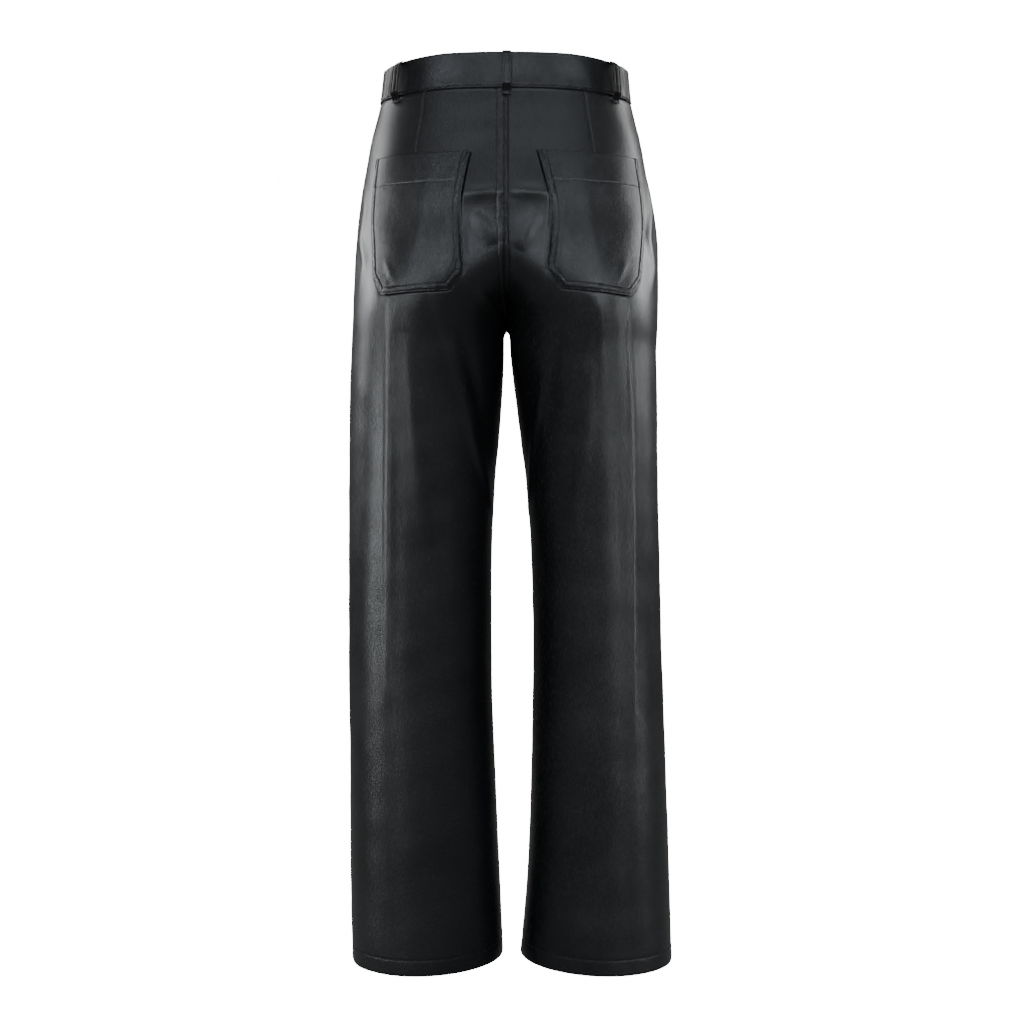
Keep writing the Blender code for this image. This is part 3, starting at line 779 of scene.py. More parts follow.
def mark_sewn(sheet, share):
    """How puckered by sewing each point is, from 0 to 1, as the leather's material reads it."""
    layer = sheet.data.attributes.new("sewn", "FLOAT", "POINT")
    layer.data.foreach_set("value", share.ravel().astype(np.float32))


def give_wall(sheet, thickness, materials, thin=None):
    """A wall inwards of the sheet, with the backing inside. thin gives each point's share."""
    for material in materials:
        sheet.data.materials.append(material)
    wall = sheet.modifiers.new("wall", "SOLIDIFY")
    wall.thickness = thickness
    wall.offset = -1
    wall.use_even_offset = False
    wall.material_offset = len(materials) - 1
    if thin is not None:
        group = sheet.vertex_groups.new(name="wall")
        for level in np.unique(thin):
            group.add(np.where(thin == level)[0].tolist(), float(level), "REPLACE")
        wall.vertex_group = "wall"
    bpy.context.view_layer.objects.active = sheet
    bpy.ops.object.modifier_apply(modifier="wall")
    bpy.ops.object.select_all(action="DESELECT")
    sheet.select_set(True)
    bpy.ops.object.shade_smooth_by_angle(angle=math.radians(55))


PANEL_TUCK = 2.0 * MM  # how far a panel's top edge reaches up inside the folded band


def panel_heights(face):
    """Row heights down a panel, close at the crotch, at the hem and under the waistband."""
    top = WAIST_SEAM + PANEL_TUCK - np.array([0, 0.9, 1.9, 2.6, 3.4, 4.6]) * MM
    if face == "back":
        upper = [
            np.linspace(-24.5, -88, 26) * MM,
            np.linspace(-89.6, -96.8, 12) * MM,
            np.linspace(-99, -246, 62) * MM,
            np.linspace(-247.6, -258, 15) * MM,
            np.linspace(-260, -285, 11) * MM,
        ]
    else:
        upper = [np.linspace(-24.5, -285, 112) * MM]
    return np.concatenate(
        [
            top,
            *upper,
            np.linspace(-286.2, -300, 10) * MM,
            np.linspace(-302.6, -520, 80) * MM,
            np.linspace(-524, HEM / MM + 22, 92) * MM,
            HEM + np.array([20.5, 19.5, 18.8, 18.2, 17.6, 16.8, 15.5, 13, 10, 7, 4.5]) * MM,
            HEM + np.array([2.8, 1.6, 0.8, 0.3, 0]) * MM,
        ]
    )


def flat_sizes(cut):
    """Widest and longest of the flat cut, and its area, in metres."""
    width = cut[..., 0]
    height = cut[..., 1]
    spans = width.max(axis=1) - width.min(axis=1)
    area = abs(float(np.sum((spans[1:] + spans[:-1]) / 2 * np.diff(height[:, 0]))))
    return (float(spans.max()), float(height.max() - height.min())), area


for name, (face, side) in PANELS.items():
    heights = panel_heights(face)
    share = np.array([columns_round(name, height) for height in heights])
    level = np.repeat(heights[:, None], share.shape[1], axis=1)
    points = cloth_point(name, share, level)
    back = 1 if face == "back" else -1
    points[..., 0] = side * np.maximum(side * points[..., 0], 0)
    points[..., 1] = back * np.maximum(back * points[..., 1], 0)
    points[heights > CROTCH, -1, 0] = 0
    across = np.linalg.norm(np.diff(points, axis=1), axis=2)
    run = np.concatenate([np.zeros((len(heights), 1)), np.cumsum(across, axis=1)], axis=1)
    fall = -length_along(points[:, 40])
    cut = np.stack([run, np.repeat(fall[:, None], run.shape[1], axis=1)], axis=-1)
    panel = sheet_object(name + "_leather", points, cut, flip=(side > 0) == (face == "back"))
    around = np.repeat(girth(name, heights)[:, None], share.shape[1], axis=1)
    to_inner = (1 - share) * around
    sewn = 0.5 * bell(np.minimum(to_inner, share * around), 5 * MM)
    if name == "back_left":
        sewn = np.maximum(sewn, (level > CROTCH) * smooth_step((11.5 * MM - to_inner) / (2 * MM)))
    sewn = np.maximum(sewn, 0.7 * bell(level - HEM - HEM_STITCH, 3 * MM))
    mark_sewn(panel, sewn)
    lowest = np.array([v.co.z for v in panel.data.vertices])
    doubled = lowest < HEM + HEM_TURN_UP - HEM_SIDE_DROP - HEM_BACK_DROP
    size, area = flat_sizes(cut)
    give_wall(panel, 2 * WALL, [leather, backing], np.where(doubled, 1.0, 0.5))
    leg_lit["left" if side > 0 else "right"].objects.link(panel)
    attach(panel, "root")
    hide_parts(name)
    for face_of in panel.data.polygons:
        if face_of.material_index == 1 and face_of.center.z < HEM + HEM_TURN_UP:
            face_of.material_index = 0


# Topstitching: short stitches of dark thread, sunk in the groove they pull into the leather.
STITCH_PITCH = 3.6 * MM
STITCH_LENGTH = 2.6 * MM
THREAD_RADIUS = 0.36 * MM
THREAD_SIDES = 5
# Along one stitch: place along it, share of the thread's radius, sinking
STITCH_RINGS = ((-0.5, 0.45, 0.75), (-0.3, 1.0, 0.1), (0.3, 1.0, 0.1), (0.5, 0.45, 0.75))

thread, tree, shader = new_material("black_thread", {"Roughness": 0.5})
inputs = {"Scale": 700, "Vector": add_node(tree, "TexCoord", {}).outputs["Object"]}
twist = add_node(tree, "TexWave", inputs, wave_type="BANDS", bands_direction="DIAGONAL")
colour = shaded(tree, twist.outputs["Fac"], (0.004, 0.004, 0.0045), (0.016, 0.016, 0.017))
feed(tree, shader, {"Base Color": colour})


def stitches_along(points, outward):
    """Places of stitches on a line: (middle, direction, outward) for each."""
    run = length_along(points)
    places = np.arange(STITCH_PITCH * 0.6, run[-1] - STITCH_PITCH * 0.4, STITCH_PITCH)
    half = STITCH_LENGTH / 2

    def along(values, moved):
        return np.stack([np.interp(places + moved, run, values[:, k]) for k in range(3)], axis=1)

    return list(zip(along(points, 0), along(points, half) - along(points, -half), along(outward, 0)))


def stitch_object(name, stitches):
    """All the stitches of one line or group as one piece."""
    vertices = []
    faces = []
    for middle, along, up in stitches:
        along = along / np.linalg.norm(along)
        up = up - along * (up @ along)
        up = up / np.linalg.norm(up)
        sideways = np.cross(along, up)
        start = len(vertices)
        for place, size, sink in STITCH_RINGS:
            centre = middle + along * place * STITCH_LENGTH - up * sink * THREAD_RADIUS
            for k in range(THREAD_SIDES):
                turn = 2 * math.pi * k / THREAD_SIDES
                spoke = up * math.cos(turn) + sideways * math.sin(turn)
                vertices.append(centre + spoke * size * THREAD_RADIUS)
        rings = len(STITCH_RINGS)
        for ring in range(rings - 1):
            for k in range(THREAD_SIDES):
                a = start + ring * THREAD_SIDES + k
                b = start + ring * THREAD_SIDES + (k + 1) % THREAD_SIDES
                faces.append((a, b, b + THREAD_SIDES, a + THREAD_SIDES))
        faces.append([start + k for k in reversed(range(THREAD_SIDES))])
        last = start + (rings - 1) * THREAD_SIDES
        faces.append([last + k for k in range(THREAD_SIDES)])
    data = bpy.data.meshes.new(name)
    data.from_pydata([tuple(v) for v in vertices], [], [tuple(f) for f in faces])
    mesh = bmesh.new()
    mesh.from_mesh(data)
    bmesh.ops.recalc_face_normals(mesh, faces=mesh.faces[:])
    mesh.to_mesh(data)
    mesh.free()
    data.shade_smooth()
    data.materials.append(thread)
    obj = bpy.data.objects.new(name, data)
    bpy.context.scene.collection.objects.link(obj)
    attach(obj, "root")
    return obj


def stitches_on_panel(panel, round_way, height):
    share = round_way / girth(panel, height)
    points = cloth_point(panel, share, height, 0.12 * MM)
    return stitches_along(points, cloth_normal(panel, share, height))


stitches = []
height = np.linspace(WAIST_SEAM - 2 * MM, CROTCH + 3 * MM, 140)
for distance in CENTRE_STITCHES:
    round_way = girth("back_left", height) - distance
    stitches += stitches_on_panel("back_left", round_way, height)
stitch_object("centre_back_stitching", stitches)

line = fly_line()
round_way = share_at("front_left", line[:, 0], line[:, 1]) * girth("front_left", line[:, 1])
stitch_object("fly_stitching", stitches_on_panel("front_left", round_way, line[:, 1]))

for side_name in ("left", "right"):
    stitches = []
    for face in ("front", "back"):
        panel = face + "_" + side_name
        share = np.linspace(0.004, 0.996, 90)
        level = np.full(share.shape, HEM + HEM_STITCH)
        stitches += stitches_on_panel(panel, share * girth(panel, level), level)
    stitch_object(f"hem_{side_name}_stitching", stitches)

# ---------------------------------------------------------------------------------------------
# Patch pockets: a piece of the same leather on each back, its top turned down in a deep hem and
# its other edges turned in, sewn down with two rows of stitches and a bar tack at each top corner.
# ---------------------------------------------------------------------------------------------
POCKET_GAP = 0.7 * MM
CORNER_CUT_OFF = 22 * MM * 10 * MM  # the area clipped off each lower corner
POCKET_HEM = 34 * MM
POCKET_ROWS_OF_STITCHES = (1.5 * MM, 7.6 * MM)
POCKET_EDGE = np.array(
    [0, 0.25, 0.6, 1.0, 1.4, 1.8, 2.4, 3.4, 4.8, 6.2, 6.9, 7.4, 7.9, 8.5, 9.4, 11]
)
# Soft folds across each pocket: across, height pairs, half-width and rise in mm
POCKET_FOLDS = {
    "left": (
        (9, 1.3, ((86, -100), (92, -150), (101, -196), (109, -240))),
        (7, -0.8, ((70, -104), (77, -150), (82, -200))),
        (5, 0.9, ((138, -214), (128, -236), (120, -252))),
        (8, 0.9, ((60, -196), (64, -230), (72, -250))),
    ),
    "right": (
        (9, 1.2, ((-84, -100), (-90, -150), (-98, -196), (-104, -240))),
        (7, -0.8, ((-66, -104), (-70, -150), (-76, -200))),
        (5, 0.9, ((-136, -212), (-126, -236), (-116, -252))),
        (8, 0.9, ((-56, -190), (-60, -226), (-68, -247))),
    ),
}


def pocket_point(side_name, round_way, height, moved_out=0.0):
    """Points of the pocket's outer face, with its turned edges, hem and stitch grooves."""
    panel = "back_" + side_name
    outer, inner = pocket_outline(side_name)
    edge = from_pocket_edge(panel, round_way, height)
    top = from_segment(outer[0], inner[0], round_way, height)[0]
    share = round_way / girth(panel, height)
    rise = 0.75 * MM * smooth_step(edge / (1.6 * MM)) * smooth_step((top + 0.3 * MM) / (1.2 * MM))
    rise += 0.45 * MM * (1 - smooth_step((edge - 7.8 * MM) / (1.6 * MM)))
    rise += 0.4 * MM * (1 - smooth_step((top - POCKET_HEM) / (1.4 * MM)))
    for row in POCKET_ROWS_OF_STITCHES:
        rise += stitch_groove(edge - row, 0.75 * MM, 0.8 * MM)
    hem_groove = stitch_groove(top - POCKET_HEM, 0.6 * MM, 0.8 * MM)
    rise += hem_groove * smooth_step((edge - 6 * MM) / (2 * MM))
    pucker = ripple(round_way, height, 9 * MM, 61)
    rise += 0.13 * MM * pucker * bell(edge, 9 * MM)
    rise += 0.22 * MM * ripple(round_way, height, 40 * MM, 62)
    for half_width, height_mm, line in POCKET_FOLDS[side_name]:
        distance, _, run = nearest_on(dense_line(panel, line), round_way, height)
        taper = np.sin(math.pi * np.clip(run, 0.03, 0.97)) * smooth_step(edge / (10 * MM))
        rise += height_mm * MM * taper * bell(distance, half_width * MM)
    lift = cloth_rise(panel, share, height) + POCKET_GAP + WALL - 0.75 * MM + moved_out
    outward = cloth_normal(panel, share, height)
    return plain_cloth(panel, share, height) + outward * (rise + lift)[..., None]


def inset_line(side_name, inset):
    """The sewn line round a pocket, this far inside its sides and foot, as (way round, height)."""
    outer, inner = pocket_outline(side_name)
    corners = np.concatenate([outer, inner[::-1]])
    middle = corners.mean(axis=0)
    moved = []
    for start, stop in zip(corners[:-1], corners[1:]):
        along = (stop - start) / np.linalg.norm(stop - start)
        inward = np.array([-along[1], along[0]])
        if inward @ (middle - start) < 0:
            inward = -inward
        moved.append((start + inward * inset, along))
    points = [moved[0][0]]
    for (first, along), (second, other) in zip(moved[:-1], moved[1:]):
        lengths = np.linalg.solve(np.stack([along, -other], axis=1), second - first)
        points.append(first + along * lengths[0])
    last, along = moved[-1]
    points.append(last + along * ((corners[-1] - last) @ along))
    return points


for side_name, side in (("left", 1), ("right", -1)):
    panel = "back_" + side_name
    outer, inner = pocket_outline(side_name)
    edge = POCKET_EDGE * MM
    tall = outer[0, 1] - outer[2, 1]
    shoulder = (outer[0, 1] - outer[1, 1]) / tall
    hem = POCKET_HEM / tall
    near = np.array([-2.2, -1.4, -0.7, 0, 0.7, 1.4, 2.2]) * MM / tall
    down = np.concatenate(
        [
            np.array([0, 0.25, 0.6, 1.0, 1.5, 2.2]) * MM / tall,
            np.linspace(3.4 * MM / tall, hem - 3.4 * MM / tall, 16),
            hem + near,
            np.linspace(hem + 3.6 * MM / tall, shoulder - 12 * MM / tall, 44),
            np.linspace(shoulder - 10 * MM / tall, 1 - 11 * MM / tall, 26),
            1 - edge[::-1][1:] / tall,
        ]
    )
    rows = []
    for share_down in down:
        if share_down <= shoulder:
            t = share_down / shoulder
            first = outer[0] + (outer[1] - outer[0]) * t
            last = inner[0] + (inner[1] - inner[0]) * t
        else:
            t = (share_down - shoulder) / (1 - shoulder)
            first = outer[1] + (outer[2] - outer[1]) * t
            last = inner[1] + (inner[2] - inner[1]) * t
        across = abs(last[0] - first[0])
        ends = edge / across
        middle = np.linspace(ends[-1], 1 - ends[-1], 60)
        shares = np.concatenate([ends[:-1], middle, 1 - ends[-2::-1]])
        rows.append(first + (last - first) * shares[:, None])
    rows = np.array(rows)
    points = pocket_point(side_name, rows[..., 0], rows[..., 1])
    name = "pocket_" + side_name
    pocket = sheet_object(name + "_leather", points, rows, flip=side > 0)
    edge = from_pocket_edge(panel, rows[..., 0], rows[..., 1])
    top = from_segment(outer[0], inner[0], rows[..., 0], rows[..., 1])[0]
    sewn = np.maximum(
        smooth_step((9.5 * MM - edge) / (1.5 * MM)),
        0.8 * bell(top - POCKET_HEM, 3 * MM),
    )
    mark_sewn(pocket, sewn)
    give_wall(pocket, WALL, [pocket_leather, backing])
    leg_lit[side_name].objects.link(pocket)
    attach(pocket, "root")
    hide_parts(name)
    wide = float(np.ptp(rows[..., 0]))
    tall = float(np.ptp(rows[..., 1]))
    area = wide * tall - 2 * CORNER_CUT_OFF
    stitches = []
    lines = [inset_line(side_name, row) for row in POCKET_ROWS_OF_STITCHES]
    down_by = np.array([0, POCKET_HEM])
    inwards = (inner[0] - outer[0]) / np.linalg.norm(inner[0] - outer[0])
    lines.append([outer[0] - down_by + inwards * 8 * MM, inner[0] - down_by - inwards * 4 * MM])
    for line in lines:
        for start, stop in zip(line[:-1], line[1:]):
            count = max(int(np.linalg.norm(stop - start) / (1.5 * MM)), 4)
            t = np.linspace(0, 1, count)[:, None]
            path = start + (stop - start) * t
            points = pocket_point(side_name, path[:, 0], path[:, 1], 0.12 * MM)
            share = path[:, 0] / girth(panel, path[:, 1])
            stitches += stitches_along(points, cloth_normal(panel, share, path[:, 1]))
    # bar tacks: close short stitches across the top corners
    for corner, inwards in ((outer[0], 1), (inner[0], -1)):
        for step in np.linspace(0, 9 * MM, 12):
            toward = np.sign(inner[0, 0] - outer[0, 0]) * inwards
            at_round = corner[0] + toward * np.array([1.2, 3.8]) * MM
            at_height = np.full(2, corner[1] - 1.5 * MM - step)
            points = pocket_point(side_name, at_round, at_height, 0.2 * MM)
            share = at_round / girth(panel, at_height)
            up = cloth_normal(panel, share, at_height)
            stitches.append((points.mean(axis=0), points[1] - points[0], up[0]))
    stitch_object(name + "_stitching", stitches)

# ---------------------------------------------------------------------------------------------
# Zip: two woven tapes behind the fly with a chain of moulded teeth, closed to the waist.
# ---------------------------------------------------------------------------------------------
ZIP_HALF_WIDTH = 14 * MM
ZIP_TOP = -24 * MM
ZIP_FOOT = -172 * MM
ZIP_TAPE = 0.9 * MM
ZIP_SEAT = 0.8 * MM
ZIP_SET_BACK = 3.2 * MM
TOOTH_PITCH = 1.5 * MM
TOOTH_SIZE = (3.4 * MM, 1.5 * MM, 0.95 * MM)
TAPE_COLOUR = (0.012, 0.012, 0.013, 1)

zip_tape, tree, shader = new_material("zip_tape", {"Base Color": TAPE_COLOUR, "Roughness": 0.85})
inputs = {"Scale": 260, "Vector": add_node(tree, "UVMap", {}, uv_map="cut").outputs["UV"]}
twill = add_node(tree, "TexWave", inputs, bands_direction="DIAGONAL").outputs["Fac"]
inputs = {
    "Base Color": shaded(tree, twill, (0.006, 0.006, 0.0065), (0.02, 0.02, 0.021)),
    "Normal": bumped(tree, twill, 0.4, 0.15 * MM),
}
feed(tree, shader, inputs)

dark_metal, tree, shader = new_material("dark_metal", {"Metallic": 1.0})
place = add_node(tree, "TexCoord", {}).outputs["Object"]
tarnish = add_node(tree, "TexNoise", {"Scale": 380, "Detail": 4, "Vector": place}).outputs["Fac"]
polish = add_node(tree, "MapRange", {"To Min": 0.22, "To Max": 0.4, "Value": tarnish})
inputs = {
    "Base Color": shaded(tree, tarnish, (0.05, 0.05, 0.055), (0.11, 0.11, 0.115)),
    "Roughness": polish.outputs["Result"],
}
feed(tree, shader, inputs)


def front_point(across, height, depth):
    """Points this deep behind the front's surface, near the centre front."""
    across, height, depth = np.broadcast_arrays(
        np.asarray(across, float), np.asarray(height, float), np.asarray(depth, float)
    )
    half_width = np.where(across > 0, section("left_out", height), section("right_out", height))
    share = 1 - np.abs(across / half_width) ** ROUNDNESS_HIPS
    ahead = section("front", height) * share ** (1 / ROUNDNESS_HIPS)
    return np.stack([across, depth - ahead, height], axis=-1)


rows = 110
columns = 33
across = np.linspace(-ZIP_HALF_WIDTH, ZIP_HALF_WIDTH, columns)
level = np.linspace(ZIP_TOP, ZIP_FOOT, rows)
flat = 1 - smooth_step((np.abs(across) - ZIP_HALF_WIDTH / 2) / (ZIP_HALF_WIDTH * 0.3))
depth = WALL + ZIP_SEAT + ZIP_SET_BACK * flat
points = front_point(across[None, :], level[:, None], depth[None, :])
cut = np.stack(np.broadcast_arrays(across[None, :], level[:, None]), axis=-1)
tape = sheet_object("fly_zip_tape", points, cut)
give_wall(tape, ZIP_TAPE, [zip_tape, zip_tape])

bpy.ops.object.select_all(action="DESELECT")
bpy.ops.mesh.primitive_cube_add(size=1, location=(0, 0, 0))
tooth = bpy.context.object
tooth.scale = TOOTH_SIZE
bpy.ops.object.transform_apply(location=False, rotation=False, scale=True)
bevel = tooth.modifiers.new("round", "BEVEL")
bevel.width = 0.25 * MM
bevel.segments = 1
bpy.ops.object.modifier_apply(modifier="round")
pattern = tooth.data.copy()
bpy.data.objects.remove(tooth)
chain = bmesh.new()
heights = np.arange(ZIP_TOP - 14 * MM, ZIP_FOOT + 6 * MM, -TOOTH_PITCH / 2)
for index, height in enumerate(heights):
    shift = 0.9 * MM * (1 if index % 2 else -1)
    place = front_point(shift, height, WALL + ZIP_SEAT + ZIP_SET_BACK - 0.2 * MM)
    start = len(chain.verts)
    chain.from_mesh(pattern)
    chain.verts.ensure_lookup_table()
    bmesh.ops.translate(chain, verts=chain.verts[start:], vec=place)
data = bpy.data.meshes.new("fly_zip_teeth")
chain.to_mesh(data)
chain.free()
data.materials.append(dark_metal)
teeth = bpy.data.objects.new("fly_zip_teeth", data)
bpy.context.scene.collection.objects.link(teeth)
for piece, slot_name in ((tape, "zip_tape"), (teeth, "dark_metal")):
    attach(piece, "root")
    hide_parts("fly_zip")

# ---------------------------------------------------------------------------------------------
# Waistband: one straight strip of leather folded along its top edge, sewn to the panels and
# edge-stitched just above the seam. Its left end laps over the right one at the centre front.
# ---------------------------------------------------------------------------------------------
BAND_WALL = 2.6 * MM
BAND_PROUD = 0.8 * MM
BAND_TOP = 20 * MM
BAND_LEATHER = 1.15 * MM
BAND_OVERLAP_OVER = 28 * MM
BAND_OVERLAP_UNDER = 8 * MM
BAND_STEP = 14 * MM
BAND_STITCH = 3.0 * MM
BAND_COLUMNS = 440
# Vertical creases where the band wraps the waist: ring angle, half-width in degrees, rise in mm
BAND_CREASES = (
    (22, 1.1, 0.7), (26, 1.0, -0.6), (30, 1.2, 0.6), (17, 1.4, -0.5), (41, 2.2, 0.35),
    (150, 1.1, 0.6), (155, 1.0, -0.5), (160, 1.3, 0.6), (138, 2.2, 0.3), (166, 1.4, -0.4),
    (-34, 1.6, 0.4), (-46, 1.8, -0.3), (-20, 1.4, 0.4), (212, 1.6, 0.4), (226, 1.8, -0.3),
    (205, 1.4, 0.4), (196, 1.2, -0.4), (-10, 1.3, -0.4), (3, 1.4, 0.5), (178, 1.4, 0.5),
)


def ring_point(degrees, height, moved_out):
    """Points round the waist: 0 at the left side, 90 the centre back, 180 the right side."""
    degrees, height, moved_out = np.broadcast_arrays(
        np.asarray(degrees, float), np.asarray(height, float), np.asarray(moved_out, float)
    )
    angle = np.radians(degrees)
    left = np.cos(angle) > 0
    behind = np.sin(angle) > 0
    half_width = np.where(left, section("left_out", height), section("right_out", height))
    depth = np.where(behind, section("back", height), section("front", height))
    x = half_width * signed_power(np.cos(angle), 2 / ROUNDNESS_HIPS)
    y = depth * signed_power(np.sin(angle), 2 / ROUNDNESS_HIPS)
    steep = ROUNDNESS_HIPS - 1
    outward = np.stack(
        [
            signed_power(x / half_width, steep) / half_width,
            signed_power(y / depth, steep) / depth,
            np.zeros(x.shape),
        ],
        axis=-1,
    )
    outward /= np.linalg.norm(outward, axis=-1, keepdims=True)
    level = height + waist_lift(x, y, height)
    return np.stack([x, y, level], axis=-1) + outward * moved_out[..., None]


def front_angle(across):
    """The ring angle, near the centre front, of a place this far across."""
    half_width = float(section("left_out" if across > 0 else "right_out", np.array(0.0)))
    share = signed_power(across / half_width, ROUNDNESS_HIPS / 2)
    return 270 + math.degrees(math.asin(share))


def band_offset(degrees, height):
    """How far the band's outer face stands off the waist ring."""
    first = front_angle(BAND_OVERLAP_UNDER + 2 * MM) - 360
    last = front_angle(BAND_OVERLAP_UNDER + 2 * MM + BAND_STEP) - 360
    over = 1 - smooth_step((degrees - first) / (last - first))
    rise = BAND_PROUD + (BAND_WALL + SEAM_GAP) * over
    taper = np.cos(np.clip(height / BAND_TOP, -1, 1) * math.pi / 2.6)
    for angle, half_width, height_mm in BAND_CREASES:
        rise = rise + height_mm * MM * taper * bell(degrees - angle, half_width)
    rise = rise + 0.18 * MM * ripple(degrees * 2.4 * MM, height, 34 * MM, 71)
    pucker = ripple(degrees * 2.4 * MM, height * 0.3, 9 * MM, 72)
    rise = rise + 0.14 * MM * pucker * bell(height + BAND_TOP, 8 * MM)
    rise = rise + stitch_groove(height + BAND_TOP - BAND_STITCH, 0.45 * MM, 0.8 * MM)
    rise = rise + 0.3 * MM * bell(height + BAND_TOP - 1.4 * MM, 1.1 * MM)
    return rise - 0.7 * MM * bell(height + BAND_TOP, 0.7 * MM)


first = front_angle(-BAND_OVERLAP_OVER) - 360
last = front_angle(BAND_OVERLAP_UNDER)
degrees = np.linspace(first, last, BAND_COLUMNS)
radius = BAND_WALL / 2
face_heights = np.concatenate(
    [
        -BAND_TOP + np.array([0, 0.35, 0.8, 1.3, 1.8, 2.2, 2.6, 3.0, 3.4, 3.8, 4.4]) * MM,
        np.linspace(-BAND_TOP + 6 * MM, BAND_TOP - radius, 16),
    ]
)
profile = [(height, 0.0, 0.0) for height in face_heights]
for turn in np.linspace(0, math.pi, 12)[1:]:
    profile.append((BAND_TOP - radius, radius * math.sin(turn), radius * (1 - math.cos(turn))))
profile += [(height, 0.0, BAND_WALL) for height in np.linspace(BAND_TOP - 3 * MM, -BAND_TOP, 12)]
points = []
for height, lift, back_by in profile:
    face_at = np.full(degrees.shape, height)
    off = band_offset(degrees, face_at) - back_by
    row = ring_point(degrees, face_at, off)
    row[..., 2] += lift
    points.append(row)
points = np.array(points)
down = length_along(points[:, 200])
along = length_along(points[10])
cut = np.stack(np.broadcast_arrays(along[None, :], down[:, None]), axis=-1)
band = sheet_object("waistband_leather", points, cut)
sewn = bell(np.array([row[0] for row in profile]) + BAND_TOP - 2 * MM, 3.5 * MM)
mark_sewn(band, np.repeat(sewn[:, None], BAND_COLUMNS, axis=1))
give_wall(band, BAND_LEATHER, [trim_leather, backing])
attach(band, "root")
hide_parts("waistband")
level = np.full(degrees.shape, -BAND_TOP + BAND_STITCH)
points = ring_point(degrees, level, band_offset(degrees, level) + 0.12 * MM)
outward = ring_point(degrees, level, band_offset(degrees, level) + 1.0) - points
stitch_object("waistband_stitching", stitches_along(points, outward))

# ---------------------------------------------------------------------------------------------
# Belt loops: narrow strips turned into flat tubes, edge-stitched down both sides, bowed clear of
# the band, pressed down at both ends and sewn at the foot with a bar tack.
# ---------------------------------------------------------------------------------------------
LOOP_ANGLES = {
    "belt_loop_back": 90,
    "belt_loop_back_left": 33,
    "belt_loop_back_right": 147,
    "belt_loop_front_left": -38,
    "belt_loop_front_right": 218,
}
LOOP_WIDTH = 11 * MM
LOOP_WALL = 1.6 * MM
LOOP_LEATHER = 0.7 * MM
LOOP_STITCH = 2.2 * MM
# Height and how far its inner face stands off the waist ring, in millimetres
LOOP_PROFILE = (
    (-27.5, 0.6), (-23.5, 0.6), (-20.2, 3.0), (-16.5, 5.9), (-8, 6.4),
    (8, 6.6), (15, 6.2), (18.2, 4.0), (19.6, 1.9), (20.4, 0.9),
)
LOOP_ROWS = 74
LOOP_TACK_ROW = 5

profile = np.array(LOOP_PROFILE) * MM
run = length_along(profile)
places = np.linspace(0, run[-1], LOOP_ROWS)
loop_height = smoothed(np.interp(places, run, profile[:, 0]), 6)
loop_off = smoothed(np.interp(places, run, profile[:, 1]), 6)
# Cross-section of the flattened tube: share across from -1 to 1, and share of the thickness
half_face = np.array([-1, -0.93, -0.86, -0.78, -0.68, -0.6, -0.52, -0.42, -0.2])
face_shares = np.concatenate([half_face, [0], -half_face[::-1]])
for name, angle in LOOP_ANGLES.items():
    centre = ring_point(angle, 0.0, 0.0)
    turn = np.linalg.norm(ring_point(angle + 0.5, 0.0, 0.0) - ring_point(angle - 0.5, 0.0, 0.0))
    outward = ring_point(angle, 0.0, 0.01) - centre
    outward /= np.linalg.norm(outward)
    round_edge = np.linspace(0, math.pi, 7)[1:-1]
    section_line = [(share, 1.0) for share in face_shares]
    section_line += [(1 + 0.09 * math.sin(t), (1 + math.cos(t)) / 2) for t in round_edge]
    section_line += [(share, 0.0) for share in np.linspace(1, -1, 12)]
    section_line += [(-1 - 0.09 * math.sin(t), (1 - math.cos(t)) / 2) for t in round_edge]
    section_line.append(section_line[0])
    points = []
    for share, thick in section_line:
        place = angle + share * LOOP_WIDTH * 0.46 / turn
        across = share * LOOP_WIDTH / 2
        from_edge = LOOP_WIDTH / 2 - abs(across)
        detail = stitch_groove(from_edge - LOOP_STITCH, 0.35 * MM, 0.7 * MM)
        detail += 0.12 * MM * math.exp(-(((from_edge - 1.0 * MM) / (0.8 * MM)) ** 2))
        row = ring_point(np.full(LOOP_ROWS, place), loop_height, loop_off)
        wave = 0.1 * MM * ripple(np.full(LOOP_ROWS, across), loop_height, 14 * MM, 81 + abs(angle))
        tack = bell(places - 2.6 * MM, 1.5 * MM)
        tack += bell(run[-1] - places - 2.6 * MM, 1.5 * MM)
        press = np.clip(1 - 0.3 * tack, 0.4, 1)
        out = thick * (LOOP_WALL * press + detail + wave)
        points.append(row + outward * out[:, None])
    points = np.array(points).transpose(1, 0, 2)[::-1]
    width = length_along(points[20])
    cut = np.stack(np.broadcast_arrays(width[None, :], places[:, None]), axis=-1)
    loop = sheet_object(name + "_leather", points, cut, flip=True)
    mesh = bmesh.new()
    mesh.from_mesh(loop.data)
    bmesh.ops.remove_doubles(mesh, verts=mesh.verts[:], dist=0.001 * MM)
    mesh.to_mesh(loop.data)
    mesh.free()
    give_wall(loop, LOOP_LEATHER, [trim_leather, backing])
    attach(loop, "root")
    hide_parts(name)
    stitches = []
    for share in (-1, 1):
        across = share * (LOOP_WIDTH / 2 - LOOP_STITCH)
        place = angle + across * 0.92 / turn
        row = ring_point(np.full(LOOP_ROWS, place), loop_height, loop_off)
        row = row + outward * (LOOP_WALL - 0.2 * MM)
        stitches += stitches_along(row, np.tile(outward, (LOOP_ROWS, 1)))
    # bar tack: close short stitches across the foot
    tack = slice(LOOP_TACK_ROW - 1, LOOP_TACK_ROW + 2)
    for step in np.linspace(-0.42, 0.42, 10):
        place = angle + step * LOOP_WIDTH / turn
        row = ring_point(place, loop_height[tack], loop_off[tack]) + outward * (LOOP_WALL * 0.62)
        stitches.append((row[1], row[2] - row[0], outward))
    stitch_object(name + "_stitching", stitches)

# ---------------------------------------------------------------------------------------------
# Zip slider: a cast metal slider at the top of the chain with a long flat pull.
# ---------------------------------------------------------------------------------------------


